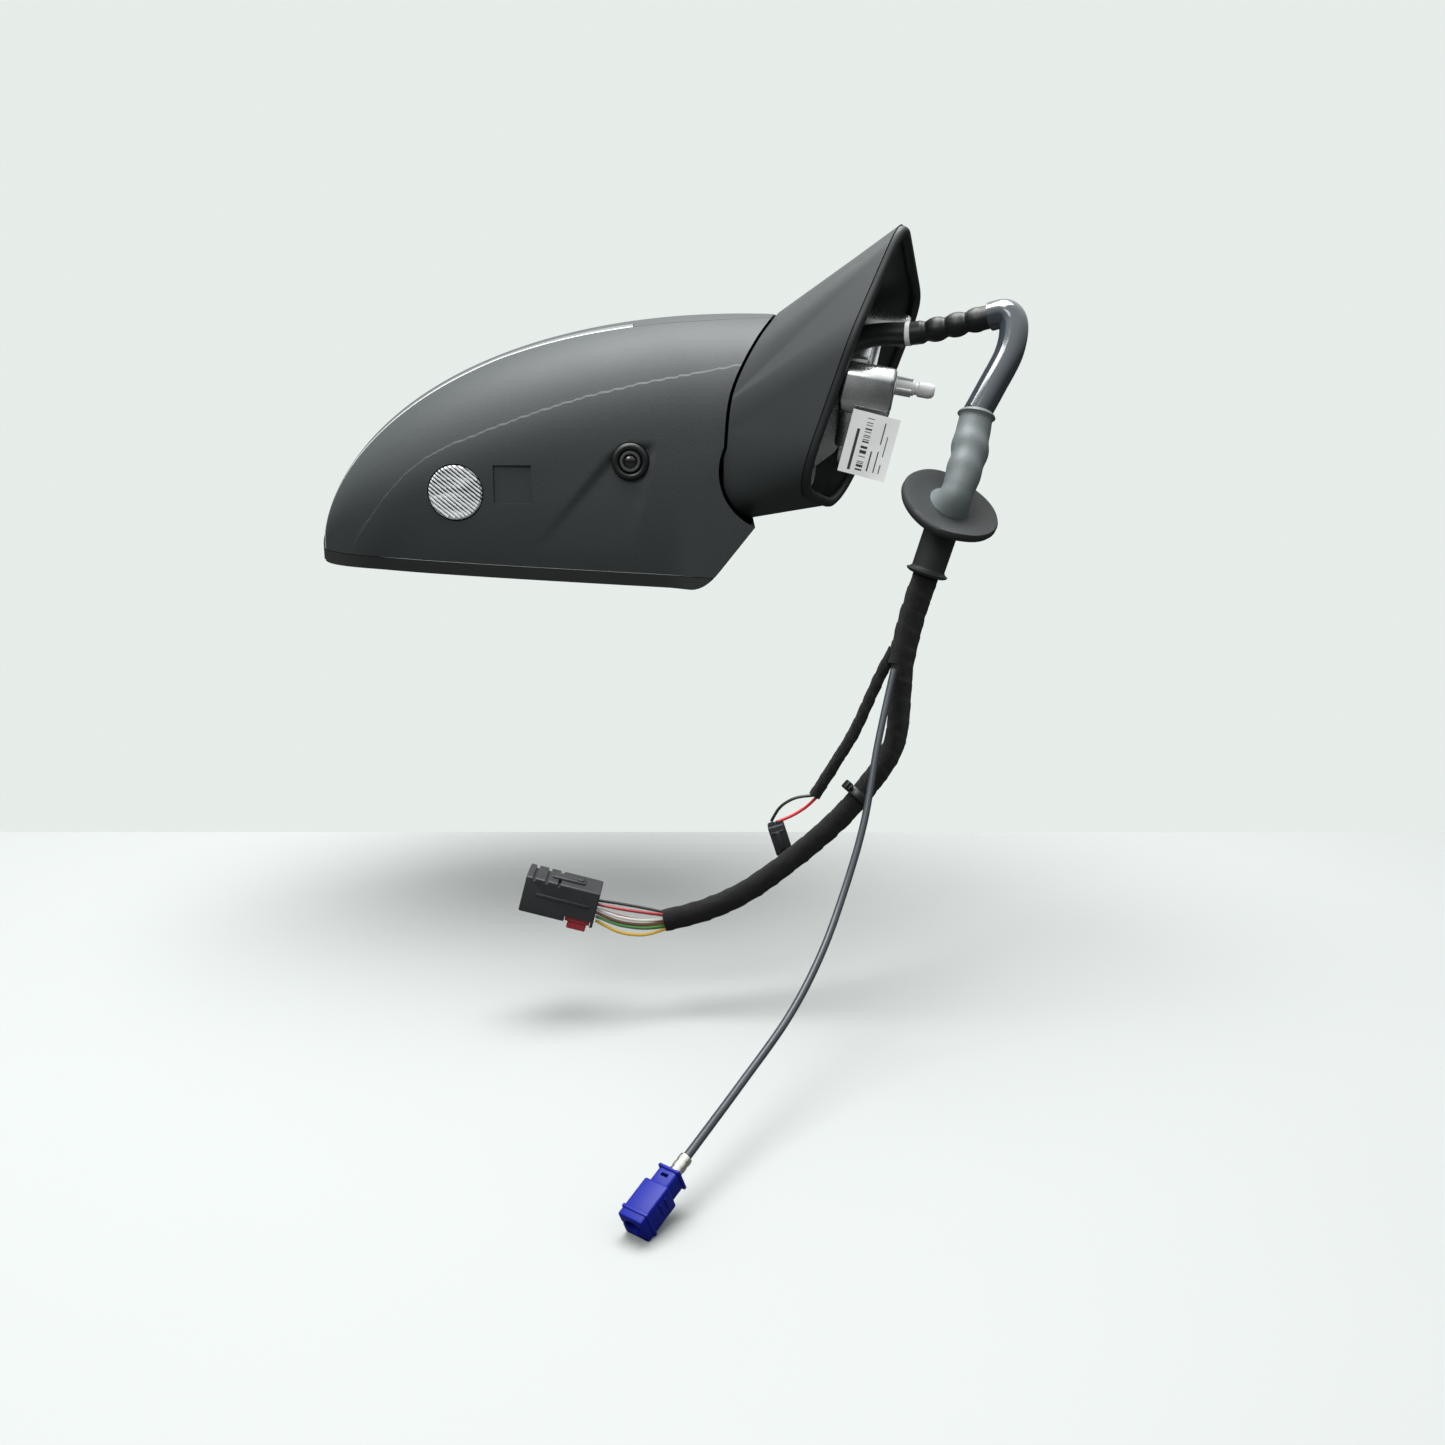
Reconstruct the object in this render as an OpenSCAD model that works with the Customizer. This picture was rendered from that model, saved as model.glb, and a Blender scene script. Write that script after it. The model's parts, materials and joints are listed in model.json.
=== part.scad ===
// Power-folding exterior door mirror, with its foot, door bracket and wiring harness.
// +Z is the front of the car, +X the door side, +Y the top: the glass faces down.
// The origin is the centre of the three door bolts, on the outer faces of their bosses.

/* [Head] */
// Distance from the fold axis to the outer tip
head_reach = 249; // [190:1:300]
// Depth of the head from glass rim to its front
head_depth = 143; // [115:1:175]
// Width of the head between its lower and upper faces
head_width = 160; // [130:1:195]
// Wall of the head shells
shell_wall = 2.5; // [1.8:0.1:3.5]
// Slope of the glass rim
rim_tilt = 3.2; // [0:0.1:6]
// Height of the bezel round the glass
bezel_h = 7; // [5:0.5:10]
// Lower face to the line where shell and cap meet
cap_line = 42; // [30:1:55]
// Width of the turn signal strip
signal_w = 7; // [4:0.5:10]
// Drop of the strip, and of the line between shell and cap, at the tip
strip_drop = 12; // [0:1:18]

/* [Lamp and camera] */
// Diameter of the ground lamp lens
lamp_d = 28; // [20:1:36]
// Outer diameter of the camera bezel
camera_d = 19; // [14:0.5:24]
// Diameter of the camera lens
camera_lens_d = 9.4; // [6:0.2:12]

/* [Glass] */
// Thickness of the mirror glass
glass_t = 2.2; // [1.6:0.1:3]
// Depth of the glass behind the rim
glass_recess = 13; // [10:1:18]
// Gap between glass and housing wall
glass_gap = 4; // [3:0.5:8]
// Distance of each adjusting plunger from the tilt centre
plunger_arm = 27; // [22:1:32]

/* [Fold drive] */
// Outer radius of the pivot post
post_r = 9; // [7:0.5:11]
// Length of the pivot post above its platform
post_h = 52; // [46:1:60]
// Teeth of the fold gear
fold_teeth = 30; // [20:1:40]
// Tip radius of the fold gear
fold_gear_r = 16.5; // [14:0.5:18]
// Radius of the rounded foot end about the fold axis
knuckle_r = 28.8; // [26:0.5:34]
// Gap between foot and head
seam_gap = 1.8; // [1.4:0.1:3]

/* [Foot] */
// Turn of the door flange about the vertical
door_yaw = -21.6; // [-28:0.1:-12]
// Lean of the door flange
door_lean = 19.5; // [12:0.1:26]
// Lean of the plane of the door bolts
bolt_lean = 10; // [0:0.5:15]
// Turn of the plane of the door bolts about the vertical
bolt_yaw = -8; // [-22:0.5:-4]
// Wall of the foot cover
foot_wall = 2.5; // [1.8:0.1:3.5]
// Diameter of the circle of door bolts
bolt_circle = 76; // [64:1:84]
// Bore of each threaded boss
bolt_bore_d = 6.8; // [5:0.1:8.5]
// Depth of each threaded boss bore
bolt_bore_l = 18; // [12:1:22]
// Outer diameter of each boss
boss_d = 17; // [14:0.5:22]
// Width of the rubber gasket on the flange
gasket_w = 5; // [3:0.5:7]

/* [Harness] */
// Diameter of the coaxial cable
coax_d = 3.4; // [2.6:0.1:5]
// Diameter of the taped trunk
trunk_d = 13; // [10:0.5:16]
// Diameter of the thick taped branch
thick_d = 11; // [8:0.5:13]
// Diameter of the thin taped branch
thin_d = 6; // [4:0.5:8]
// Diameter of the ribbed tube
ribbed_d = 11.2; // [9:0.2:13]
// Diameter of the smooth tube
tube_d = 14; // [11:0.5:16]
// Diameter of the grommet flange
grommet_d = 50; // [42:1:58]

/* [Hidden] */

$fn = 48;
// Smallest gap between pieces that do not touch
gap = 0.3;
// Running clearance of shafts, on the radius
run = 0.05;

// Fold axis: along Y, through this X and Z
pivot = [-62, -38.5];
// Lower face, middle and upper face of the head in Y
low_y = -25;
mid_y = low_y + head_width / 2;
cap_y = low_y + cap_line;
// Door-side end of the head, and door-side end of its glass opening
end_x = -52;
rim_x = -106;
tip_x = pivot[0] - head_reach;
// Rim height at rim_x, and height of the front of the head
rim_z = -99.5;
// Where the strip starts to drop, and its end towards the door
drop_x = -210;
strip_end = -138;
top_z = rim_z + head_depth + 2;
// Slope of the underside between rim and foot
neck_slope = 1.25;
// Top of the foot end, and underside of the head that turns on it
deck_y = 26;
floor_y = deck_y + 2.5;

function sgn_pow(v, p) = sign(v) * pow(abs(v), p);
function mix(a, b, t) = a + (b - a) * t;
function polar(r, a) = [r * cos(a), r * sin(a)];
function clamp01(v) = max(0, min(1, v));

// A closed solid through rings of equal length
module loft(rings) {
    m = len(rings);
    n = len(rings[0]);
    sides = [for (i = [0:m - 2], j = [0:n - 1], k = [0, 1])
        let (a = i * n + j, b = i * n + (j + 1) % n)
        k == 0 ? [a, b, b + n] : [a, b + n, a + n]];
    start = [[for (j = [n - 1:-1:0]) j]];
    finish = [[for (j = [0:n - 1]) (m - 1) * n + j]];
    polyhedron([for (r = rings) each r], concat(sides, start, finish));
}

// Smooth route through hand-chosen points: count pieces to each stretch
function route(p, count) = [for (i = [0:len(p) - 2], k = [0:count - 1])
    let (t = k / count, a = p[max(i - 1, 0)], b = p[i], c = p[i + 1], d = p[min(i + 2, len(p) - 1)])
    ((2 * b) + (c - a) * t + (2 * a - 5 * b + 4 * c - d) * t * t
        + (3 * b - a - 3 * c + d) * t * t * t) / 2,
    p[len(p) - 1]];

function tangent(p, i) = let (d = p[min(i + 1, len(p) - 1)] - p[max(i - 1, 0)]) d / norm(d);
function ring(c, t, r, sides, ref) = let (u0 = cross(t, ref), u = u0 / norm(u0), v = cross(t, u))
    [for (k = [0:sides - 1]) c + r * (u * cos(360 * k / sides) + v * sin(360 * k / sides))];
// A tube along a route; radii is one value or one for each point
module tube(p, radius, sides = 10, ref = [1, 0, 0]) {
    loft([for (i = [0:len(p) - 1])
        ring(p[i], tangent(p, i), is_list(radius) ? radius[i] : radius, sides, ref)]);
}

// Places children whose Z axis should run from a to b
module aim(a, b) {
    d = b - a;
    translate(a)
        rotate([0, acos(d[2] / norm(d)), atan2(d[1], d[0])])
            children();
}

// A flat outline in X and Z, made solid between two values of Y
module slab(y0, y1) {
    translate([0, y1, 0])
        rotate([90, 0, 0])
            linear_extrude(y1 - y0)
                children();
}

// Cylinder along Y about a point in X and Z
module pin_y(c, r, y0, y1) {
    translate([c[0], y1, c[1]])
        rotate([90, 0, 0])
            cylinder(r = r, h = y1 - y0);
}

// ---- Head shape ----
function rim_line(x) = rim_z - (x - rim_x) * tan(rim_tilt);
function soft_max(a, b, k) = let (h = clamp01(0.5 + (b - a) / (2 * k))) mix(a, b, h) + k * h * (1 - h);
function under_line(x) = soft_max(rim_line(x), rim_line(-100) + neck_slope * (x + 100), 10);
// Share of full size at x, one at the door side and falling to the tip
function taper(x, n) = pow(1 - pow(clamp01((end_x - x) / (end_x - tip_x)), n), 1 / n);
// Rounding of the door-side end
function end_inset(x) = 7 * pow(clamp01((x + 64) / 10), 2);
function front_line(x) = let (b = rim_line(x)) b + (top_z - rim_z) * taper(x, 2.05) - end_inset(x);
function half_width(x) = head_width / 2 * taper(x, 5) - end_inset(x);
// Height where the curved front of a section starts, and the front at a given Y on the lower side
function spring_line(x, w) = mix(under_line(x), front_line(x) - w, 0.35);
function front_at(x, y) = let (c = pow((mid_y - y) / half_width(x), 1 / 0.72))
    mix(spring_line(x, 0), front_line(x), pow(1 - c * c, 0.39));
// Line between shell and cap
function part_line(x) = cap_y - strip_drop * max(0, (drop_x - x) / (drop_x - tip_x));

// One section of the head, set in by w; open_rim lets it run out below the rim
function head_section(x, w, open_rim) =
    let (z0 = open_rim && x < rim_x ? rim_line(x) - 4 : under_line(x) + w + end_inset(x),
        z3 = front_line(x) - w,
        a = half_width(x) - w,
        zs = spring_line(x, w))
    concat([[x, mid_y - a, z0]],
        [for (k = [0:16]) let (t = 180 * k / 16)
            [x, mid_y - a * sgn_pow(cos(t), 0.72), zs + (z3 - zs) * sgn_pow(sin(t), 0.78)]],
        [[x, mid_y + a, z0]]);

// Stations along the head, close together at the tip
function stations(w) = concat(
    [for (k = [0:10]) let (t = 7 + 68 * k / 10) end_x - (end_x - tip_x - w) * cos(t)],
    [rim_x - 0.01, rim_x + 1, -99, -94, -89, -82, -70, -64, -60, -57, end_x - w]);

module head_solid(w = 0, open_rim = false) {
    loft([for (x = stations(w)) head_section(x, w, open_rim)]);
    pin_y(pivot, knuckle_r - 3.5 - w, floor_y - (w > 0 ? 1 : 0), deck_y + post_h + 6 - w);
}

// Outline between foot and head: a true arc below, straight runs above
function seam_points(g) = concat(
    [for (a = [-108:-12:-204]) pivot + polar(knuckle_r + g, a)],
    [[-85 - g, 1], [-72.5 - g, 27], [-57 - g, 47]]);
module foot_outline(g) {
    polygon(concat([[-72, -110]], [pivot + polar(knuckle_r + g, -96)], seam_points(g),
        [[-10, 110], [60, 110], [60, -110]]));
}
module mouth_outline(g) {
    polygon(concat([[pivot[0] + (knuckle_r + g) * cos(108), -130]], seam_points(g),
        [[-30, 90], [60, 90], [60, -130]]));
}

// Everything below the bezel line
module below_bezel() {
    translate([rim_x, 0, rim_z + bezel_h])
        rotate([0, rim_tilt, 0])
            translate([-300, -150, -100])
                cube([400, 400, 100]);
}
module head_hollow() {
    difference() {
        head_solid();
        head_solid(shell_wall, true);
    }
}

// All between two heights over the line of shell and cap, from the tip to x1
module band(x1, d0, d1) {
    x0 = tip_x - 10;
    translate([0, 0, -130])
        linear_extrude(260)
            polygon([[x0, part_line(x0) + d0], [drop_x, cap_y + d0], [x1, cap_y + d0],
                [x1, cap_y + d1], [drop_x, cap_y + d1], [x0, part_line(x0) + d1]]);
}

// ---- Places of the lamp, camera and glass ----
lamp_at = [-229, -49];
camera_at = [-138, -33];
glass_at = [-196, mid_y, rim_line(-196) + glass_recess];
tilt_z = 11;
plungers = [[-plunger_arm, 0], [0, plunger_arm]];
plunger_r = 3;
screw_r = 1.6;
screw_spots = [for (a = [45:90:315]) polar(35, a)];
// Lower face of the head at the lamp and at the camera
lamp_y = mid_y - half_width(lamp_at[0]);
camera_y = mid_y - half_width(camera_at[0]) + 0.4;

module in_glass() {
    translate(glass_at)
        rotate([0, rim_tilt, 0])
            children();
}

// Outline of the glass opening in X and Y about glass_at, set in by w
function plan_x(k, w) = mix(tip_x + 9 + w, rim_x - w, (1 - cos(180 * k / 20)) / 2);
function corner(x, w) = 16 * (1 - sqrt(max(0, 1 - pow(clamp01((x - (rim_x - w - 16)) / 16), 2))));
function plan_half(x, w) = half_width(x - w / 2) - w - corner(x, w);
module plan_outline(w) {
    polygon(concat(
        [for (k = [0:20]) let (x = plan_x(k, w)) [x - glass_at[0], -plan_half(x, w)]],
        [for (k = [20:-1:0]) let (x = plan_x(k, w)) [x - glass_at[0], plan_half(x, w)]]));
}

module lower_shell() {
    color([0.13, 0.14, 0.145])
        difference() {
            head_hollow();
            below_bezel();
            band(60, 0, 200);
            slab(-60, floor_y)
                mouth_outline(seam_gap);
            pin_y(lamp_at, lamp_d / 2 + 0.6, -60, 0);
            pin_y(camera_at, camera_d / 2 + gap, -60, 0);
        }
}

module skull_cap() {
    color([0.1, 0.105, 0.11])
        difference() {
            head_hollow();
            below_bezel();
            band(60, -100, 0);
            band(strip_end, 0, signal_w);
            slab(-60, floor_y)
                mouth_outline(seam_gap);
        }
}

module bezel_ring() {
    color([0.09, 0.095, 0.1])
        difference() {
            intersection() {
                head_hollow();
                below_bezel();
            }
            slab(-60, floor_y)
                mouth_outline(seam_gap);
        }
}

module signal_lens() {
    color([0.85, 0.87, 0.88])
        difference() {
            intersection() {
                head_hollow();
                band(strip_end, 0, signal_w);
            }
            below_bezel();
        }
}

// Light guide rod behind the strip, and the board with the diode that feeds it
guide_x = [-287, -277, -265, -247, -225, -201, -175, -147];
guide_inset = 9;
guide_r = 1.8;
board_t = 1.6;
diode = [3, 3, 1.2];
function guide_at(x) = let (y = part_line(x) + signal_w / 2) [x, y, front_at(x, y) - guide_inset];
module signal_guide() {
    color([0.95, 0.95, 0.92])
        tube([for (x = guide_x) guide_at(x)], guide_r, 8, [0, 1, 0]);
}
module signal_board() {
    near = guide_at(guide_x[len(guide_x) - 1]) - [0, 0, guide_r + gap];
    color([0.1, 0.35, 0.2])
        translate(near - [0, 5, diode[2] + board_t])
            cube([12, 10, board_t]);
    color([0.95, 0.9, 0.6])
        translate(near - [diode[0] / 2, diode[1] / 2, diode[2]])
            cube(diode);
}

// ---- Ground lamp ----
lamp_depth = 13;
module lamp_lens() {
    color([0.86, 0.88, 0.9])
        difference() {
            pin_y(lamp_at, lamp_d / 2, lamp_y - 1, lamp_y + 3);
            pin_y(lamp_at, lamp_d / 2 - 2, lamp_y + 0.8, lamp_y + 4);
        }
}
module lamp_housing() {
    color([0.18, 0.18, 0.19])
        difference() {
            pin_y(lamp_at, lamp_d / 2 + 0.2, lamp_y + 3, lamp_y + lamp_depth);
            pin_y(lamp_at, lamp_d / 2 - 2, lamp_y + 2, lamp_y + lamp_depth - 2);
        }
}
module lamp_board() {
    color([0.1, 0.35, 0.2])
        pin_y(lamp_at, lamp_d / 2 - 3, lamp_y + lamp_depth - 3.8, lamp_y + lamp_depth - 2);
    color([0.95, 0.9, 0.6])
        pin_y(lamp_at, 2.2, lamp_y + lamp_depth - 5.4, lamp_y + lamp_depth - 3.8);
}

// ---- Camera ----
module camera_bezel() {
    color([0.06, 0.06, 0.065])
        difference() {
            pin_y(camera_at, camera_d / 2, camera_y - 1.5, camera_y + 5);
            pin_y(camera_at, camera_lens_d / 2 + 1, camera_y - 3, camera_y + 6);
        }
}
module camera_lens() {
    color([0.05, 0.05, 0.09])
        union() {
            pin_y(camera_at, camera_lens_d / 2 + 1, camera_y - 0.2, camera_y + 5);
            intersection() {
                translate([camera_at[0], camera_y + 5, camera_at[1]])
                    sphere(r = 7);
                pin_y(camera_at, camera_lens_d / 2, camera_y - 5, camera_y);
            }
        }
}
module camera_body() {
    color([0.12, 0.12, 0.13])
        translate([camera_at[0] - 12, camera_y + 5, camera_at[1] - 12])
            cube([24, 18, 24]);
    color([0.3, 0.3, 0.32])
        pin_y(camera_at, 4, camera_y + 21, camera_y + 31);
}

// ---- Carrier and fold drive ----
bush_wall = 2;
frame_z = 26;
frame_t = 3;
module carrier_frame() {
    color([0.17, 0.17, 0.18])
        difference() {
            union() {
                in_glass()
                    translate([0, 0, frame_z])
                        linear_extrude(frame_t)
                            intersection() {
                                plan_outline(shell_wall + 5);
                                translate([-62, -48])
                                    square([150, 106]);
                            }
                // Ribs on the frame plate
                for (y = [-40, 48])
                    in_glass()
                        translate([-58, y, frame_z + frame_t])
                            cube([140, 3, 8]);
                // Arm that turns about the post
                pin_y(pivot, 20, floor_y, floor_y + 6);
                slab(floor_y, floor_y + 6)
                    polygon([[-64, -54], [-125, -66], [-125, -40], [-64, -18]]);
            }
            pin_y(pivot, post_r + run + bush_wall, floor_y - 1, floor_y + 8);
            in_glass() {
                translate([0, 0, frame_z - 1])
                    cylinder(r = 7, h = 20);
                for (p = plungers)
                    translate([p[0], p[1], frame_z - 1])
                        cylinder(r = plunger_r + run, h = 20);
                for (p = screw_spots)
                    translate([p[0], p[1], frame_z - 1])
                        cylinder(r = screw_r, h = 20);
            }
        }
}
module post_bush() {
    color([0.9, 0.88, 0.8])
        difference() {
            pin_y(pivot, post_r + run + bush_wall, floor_y, floor_y + 6);
            pin_y(pivot, post_r + run, floor_y - 1, floor_y + 7);
        }
}
module pivot_post() {
    color([0.72, 0.73, 0.75])
        difference() {
            union() {
                pin_y(pivot, post_r, deck_y, deck_y + post_h);
                pin_y(pivot, post_r + 6, deck_y - 3, deck_y);
            }
            pin_y(pivot, post_r - 2.5, deck_y - 4, deck_y + post_h + 1);
        }
}
// Sits on the deck of the foot; its notches hold the head at its two stops
module detent_ring() {
    color([0.55, 0.56, 0.58])
        difference() {
            pin_y(pivot, 19, deck_y, deck_y + 1.9);
            pin_y(pivot, post_r, deck_y - 1, deck_y + 3);
            for (k = [0:3])
                translate([pivot[0], 0, pivot[1]])
                    rotate([0, 90 * k + 45, 0])
                        translate([16, deck_y + 1, -1.5])
                            cube([8, 2, 3]);
        }
}
gear_y = floor_y + 10;
gear_t = 8;
module gear_outline() {
    polygon([for (k = [0:4 * fold_teeth - 1])
        polar(fold_gear_r - (k % 4 < 2 ? 0 : 1.6), 90 * k / fold_teeth)]);
}
module fold_gear() {
    color([0.86, 0.84, 0.78])
        translate([pivot[0], gear_y + gear_t, pivot[1]])
            rotate([90, 0, 0])
                difference() {
                    linear_extrude(gear_t)
                        gear_outline();
                    translate([0, 0, -1])
                        cylinder(r = post_r, h = gear_t + 2);
                }
}
spring_turns = 5;
spring_y0 = gear_y + gear_t + 1.2;
spring_y1 = deck_y + post_h - 5.5;
module fold_spring() {
    steps = 14 * spring_turns;
    color([0.6, 0.61, 0.63])
        tube([for (k = [0:steps]) let (a = 360 * k / 14)
            [pivot[0] + 13 * cos(a), mix(spring_y0, spring_y1, k / steps), pivot[1] + 13 * sin(a)]],
            1.2, 6, [0, 1, 0]);
}
module retaining_nut() {
    color([0.66, 0.67, 0.7])
        difference() {
            pin_y(pivot, 16, deck_y + post_h - 4, deck_y + post_h - 1.5);
            pin_y(pivot, post_r, deck_y, deck_y + post_h + 1);
        }
}
worm_r = 4.2;
worm_z = pivot[1] + fold_gear_r + worm_r + gap;
worm_y = gear_y + gear_t / 2;
worm_pitch = 2.6;
worm_start = pivot[0] - 12;
worm_end = pivot[0] + 6.6;
bearing_t = 2.6;
bearing_x = [pivot[0] - 20, worm_end - bearing_t - 0.2];
module along_x(x0, x1, r) {
    translate([x0, worm_y, worm_z])
        rotate([0, 90, 0])
            cylinder(r = r, h = x1 - x0);
}
module fold_worm() {
    color([0.7, 0.71, 0.73]) {
        along_x(-92, worm_end, 1.6);
        for (k = [0:5])
            along_x(worm_start + worm_pitch * k, worm_start + worm_pitch * k + 1.4, worm_r);
        along_x(worm_start - 1, worm_end - 3.2, worm_r - 1.4);
    }
}
module worm_bearings() {
    color([0.75, 0.6, 0.3])
        for (x = bearing_x)
            difference() {
                along_x(x, x + bearing_t, 3.2);
                along_x(x - 1, x + 4, 1.6 + run);
            }
}
module fold_motor() {
    color([0.6, 0.61, 0.62])
        difference() {
            along_x(-128, -92.5, 10);
            along_x(-93.5, -92, 2.4);
        }
    color([0.2, 0.2, 0.21])
        along_x(-131, -128, 8);
}
// Tray that holds motor, worm and gear, bolted to the carrier arm
module drive_housing() {
    color([0.14, 0.14, 0.15])
        difference() {
            union() {
                slab(floor_y + 6, floor_y + 9)
                    polygon([[-128, -30], [-128, -2], [-56, -2], [-56, -18], [-45, -28],
                        [-45, -48], [-58, -58], [-88, -50], [-96, -30]]);
                translate([-132, floor_y + 6, worm_z + 10.6])
                    cube([70, 24, 2.5]);
                for (x = bearing_x)
                    translate([x, floor_y + 8, worm_z - 4])
                        cube([bearing_t, 10, 8]);
            }
            pin_y(pivot, post_r + 2.3, floor_y, floor_y + 20);
            along_x(-90, -50, 3.2);
            along_x(-132, -92, 10.3);
            along_x(worm_start - 2, worm_end - 3, worm_r + gap);
            translate([-60, floor_y, -16])
                cube([20, 30, 20]);
        }
}

// ---- Glass, its plate and its actuator ----
module mirror_glass() {
    color([0.75, 0.82, 0.88])
        in_glass()
            linear_extrude(glass_t)
                plan_outline(shell_wall + glass_gap);
}
module heater_pad() {
    color([0.85, 0.5, 0.25])
        in_glass()
            translate([0, 0, glass_t])
                linear_extrude(0.5)
                    plan_outline(shell_wall + glass_gap + 3);
}
plate_z = glass_t + 0.5;
module glass_backing() {
    color([0.12, 0.12, 0.13])
        in_glass()
            difference() {
                union() {
                    translate([0, 0, plate_z])
                        linear_extrude(2)
                            plan_outline(shell_wall + glass_gap);
                    // Lugs of the gimbal, on the X line
                    for (s = [-1, 1])
                        translate([s * 15 - 2, -4, plate_z + 1])
                            cube([4, 8, tilt_z - plate_z + 2.2]);
                    // Cups of the two plungers
                    for (p = plungers)
                        translate([p[0], p[1], plate_z + 1])
                            cylinder(r = 6.4, h = 6);
                }
                for (s = [-1, 1])
                    translate([s * 15 - 3, 0, tilt_z])
                        rotate([0, 90, 0])
                            cylinder(r = 2 + run, h = 6);
                for (p = plungers)
                    translate([p[0], p[1], plate_z + 2])
                        cylinder(r = 4.9, h = 10);
            }
}
// Cross that turns in the actuator about Y and carries the plate about X
module tilt_gimbal() {
    color([0.88, 0.87, 0.84])
        in_glass()
            translate([0, 0, tilt_z]) {
                difference() {
                    translate([-9, -9, -4])
                        cube([18, 18, 7]);
                    translate([0, 0, -5])
                        cylinder(r = 4, h = 10);
                }
                for (s = [-1, 1]) {
                    translate([s * 9, 0, 0])
                        rotate([0, s * 90, 0])
                            cylinder(r = 2, h = 7.6);
                    translate([0, s * 9, 0])
                        rotate([-s * 90, 0, 0])
                            cylinder(r = 2, h = 7.6);
                }
            }
}
act_z0 = 17;
act_z1 = frame_z;
// Ends of the actuator lugs past the tilt axis, clear of the tilted plate
lug_drop = 3.4;
module actuator_housing() {
    color([0.2, 0.2, 0.21])
        in_glass()
            difference() {
                union() {
                    translate([0, 0, act_z0])
                        cylinder(r = 40, h = act_z1 - act_z0);
                    for (s = [-1, 1])
                        translate([-4, s * 15 - 2, tilt_z - lug_drop])
                            cube([8, 4, act_z0 - tilt_z + lug_drop + 1]);
                }
                for (s = [-1, 1])
                    translate([0, s * 15 - 3, tilt_z])
                        rotate([-90, 0, 0])
                            cylinder(r = 2 + run, h = 6);
                for (p = plungers)
                    translate([p[0], p[1], act_z0 - 2])
                        cylinder(r = plunger_r + run, h = 30);
                for (p = screw_spots)
                    translate([p[0], p[1], act_z1 - screw_bite])
                        cylinder(r = screw_r, h = 10);
                translate([-20, -30.5, act_z0 + 2])
                    cube([40, 21, 20]);
            }
}
module tilt_motors() {
    color([0.62, 0.63, 0.64])
        in_glass()
            for (x = [-18, 3])
                translate([x, -29, act_z0 + 2.3])
                    cube([15, 18, 6.4]);
}
module plunger(p) {
    in_glass()
        translate([p[0], p[1], plate_z + 6.2])
            union() {
                cylinder(r = plunger_r, h = 26);
                intersection() {
                    sphere(r = 4);
                    translate([-5, -5, -3.4])
                        cube([10, 10, 8]);
                }
            }
}
module side_plunger() {
    color([0.9, 0.89, 0.86])
        plunger([-plunger_arm, 0]);
}
module height_plunger() {
    color([0.9, 0.89, 0.86])
        plunger([0, plunger_arm]);
}
screw_bite = 4;
module screw(h, r) {
    cylinder(r = r, h = h);
    translate([0, 0, h])
        difference() {
            cylinder(r = 2 * r, h = 2.2);
            translate([0, 0, 0.8])
                cylinder(r = r, h = 2, $fn = 6);
        }
}
module actuator_screws() {
    color([0.5, 0.51, 0.53])
        in_glass()
            for (p = screw_spots)
                translate([p[0], p[1], frame_z - screw_bite])
                    screw(screw_bite + frame_t, screw_r);
}

// ---- Foot ----
module in_door() {
    rotate([0, door_lean, door_yaw])
        children();
}
function turn_y(p, a) = [p[0] * cos(a) + p[2] * sin(a), p[1], p[2] * cos(a) - p[0] * sin(a)];
function turn_z(p, a) = [p[0] * cos(a) - p[1] * sin(a), p[0] * sin(a) + p[1] * cos(a), p[2]];
function to_door(p) = turn_z(turn_y(p, door_lean), door_yaw);

// Corner discs of the flange outline: centre and radius in the plane of the flange
flange_discs = [[-34, 72, 9], [28, 36, 18], [9, -41, 29], [-31, -35, 27], [-37, 22, 20]];
flange_x = -18;
function reach(d, a, w) = d[0] * cos(a) + d[1] * sin(a) + d[2] - w;
function far_disc(a, w, k = 0, best = 0) = k == len(flange_discs) ? flange_discs[best]
    : far_disc(a, w, k + 1, reach(flange_discs[k], a, w) > reach(flange_discs[best], a, w) ? k : best);
function flange_point(a, w) = let (d = far_disc(a, w)) [d[0], d[1]] + polar(d[2] - w, a);
// End of the foot at the head, in Y and Z
neck_x = -90;
neck_mid = [10, -22.5];
neck_half = [33, 44.5];
function neck_point(a, w) = [neck_mid[0] + (neck_half[0] - w) * sgn_pow(cos(a), 0.72),
    neck_mid[1] + (neck_half[1] - w) * sgn_pow(sin(a), 0.72)];
function foot_point(a, s, w) = let (f = flange_point(a, w), g = neck_point(a, w))
    mix(to_door([flange_x, f[0], f[1]]), [neck_x, g[0], g[1]], s);
foot_sides = 48;
function foot_ring(s, w) = [for (k = [0:foot_sides - 1]) foot_point(360 * k / foot_sides, s, w)];

// Space on the deck that the head turns in
module turning_zone(w) {
    pin_y(pivot, knuckle_r - 1 + w, deck_y - w, 130);
    translate([-160, deck_y - w, -130])
        cube([112 + w, 120, 260]);
}
module foot_solid(w, s0 = 0) {
    difference() {
        intersection() {
            loft([for (s = [s0, 0.25, 0.5, 0.75, 1]) foot_ring(s, w)]);
            slab(-90, 90)
                foot_outline(-w);
        }
        turning_zone(w);
    }
}
cover_spots = [for (a = [60, 180]) pivot + polar(18, a)];
cover_screw_r = 1.5;
module foot_cover() {
    color([0.16, 0.17, 0.175])
        difference() {
            foot_solid(0);
            foot_solid(foot_wall, -0.05);
            pin_y(pivot, post_r + 6 + gap, deck_y - 8, deck_y + 5);
            for (p = cover_spots)
                pin_y(p, cover_screw_r, deck_y - 5, deck_y - 0.6);
        }
}
module flange_profile(w) {
    polygon([for (k = [0:foot_sides - 1]) flange_point(360 * k / foot_sides, w)]);
}
module on_flange(x) {
    in_door()
        translate([x, 0, 0])
            rotate([90, 0, 90])
                children();
}
gasket_t = 4;
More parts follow.
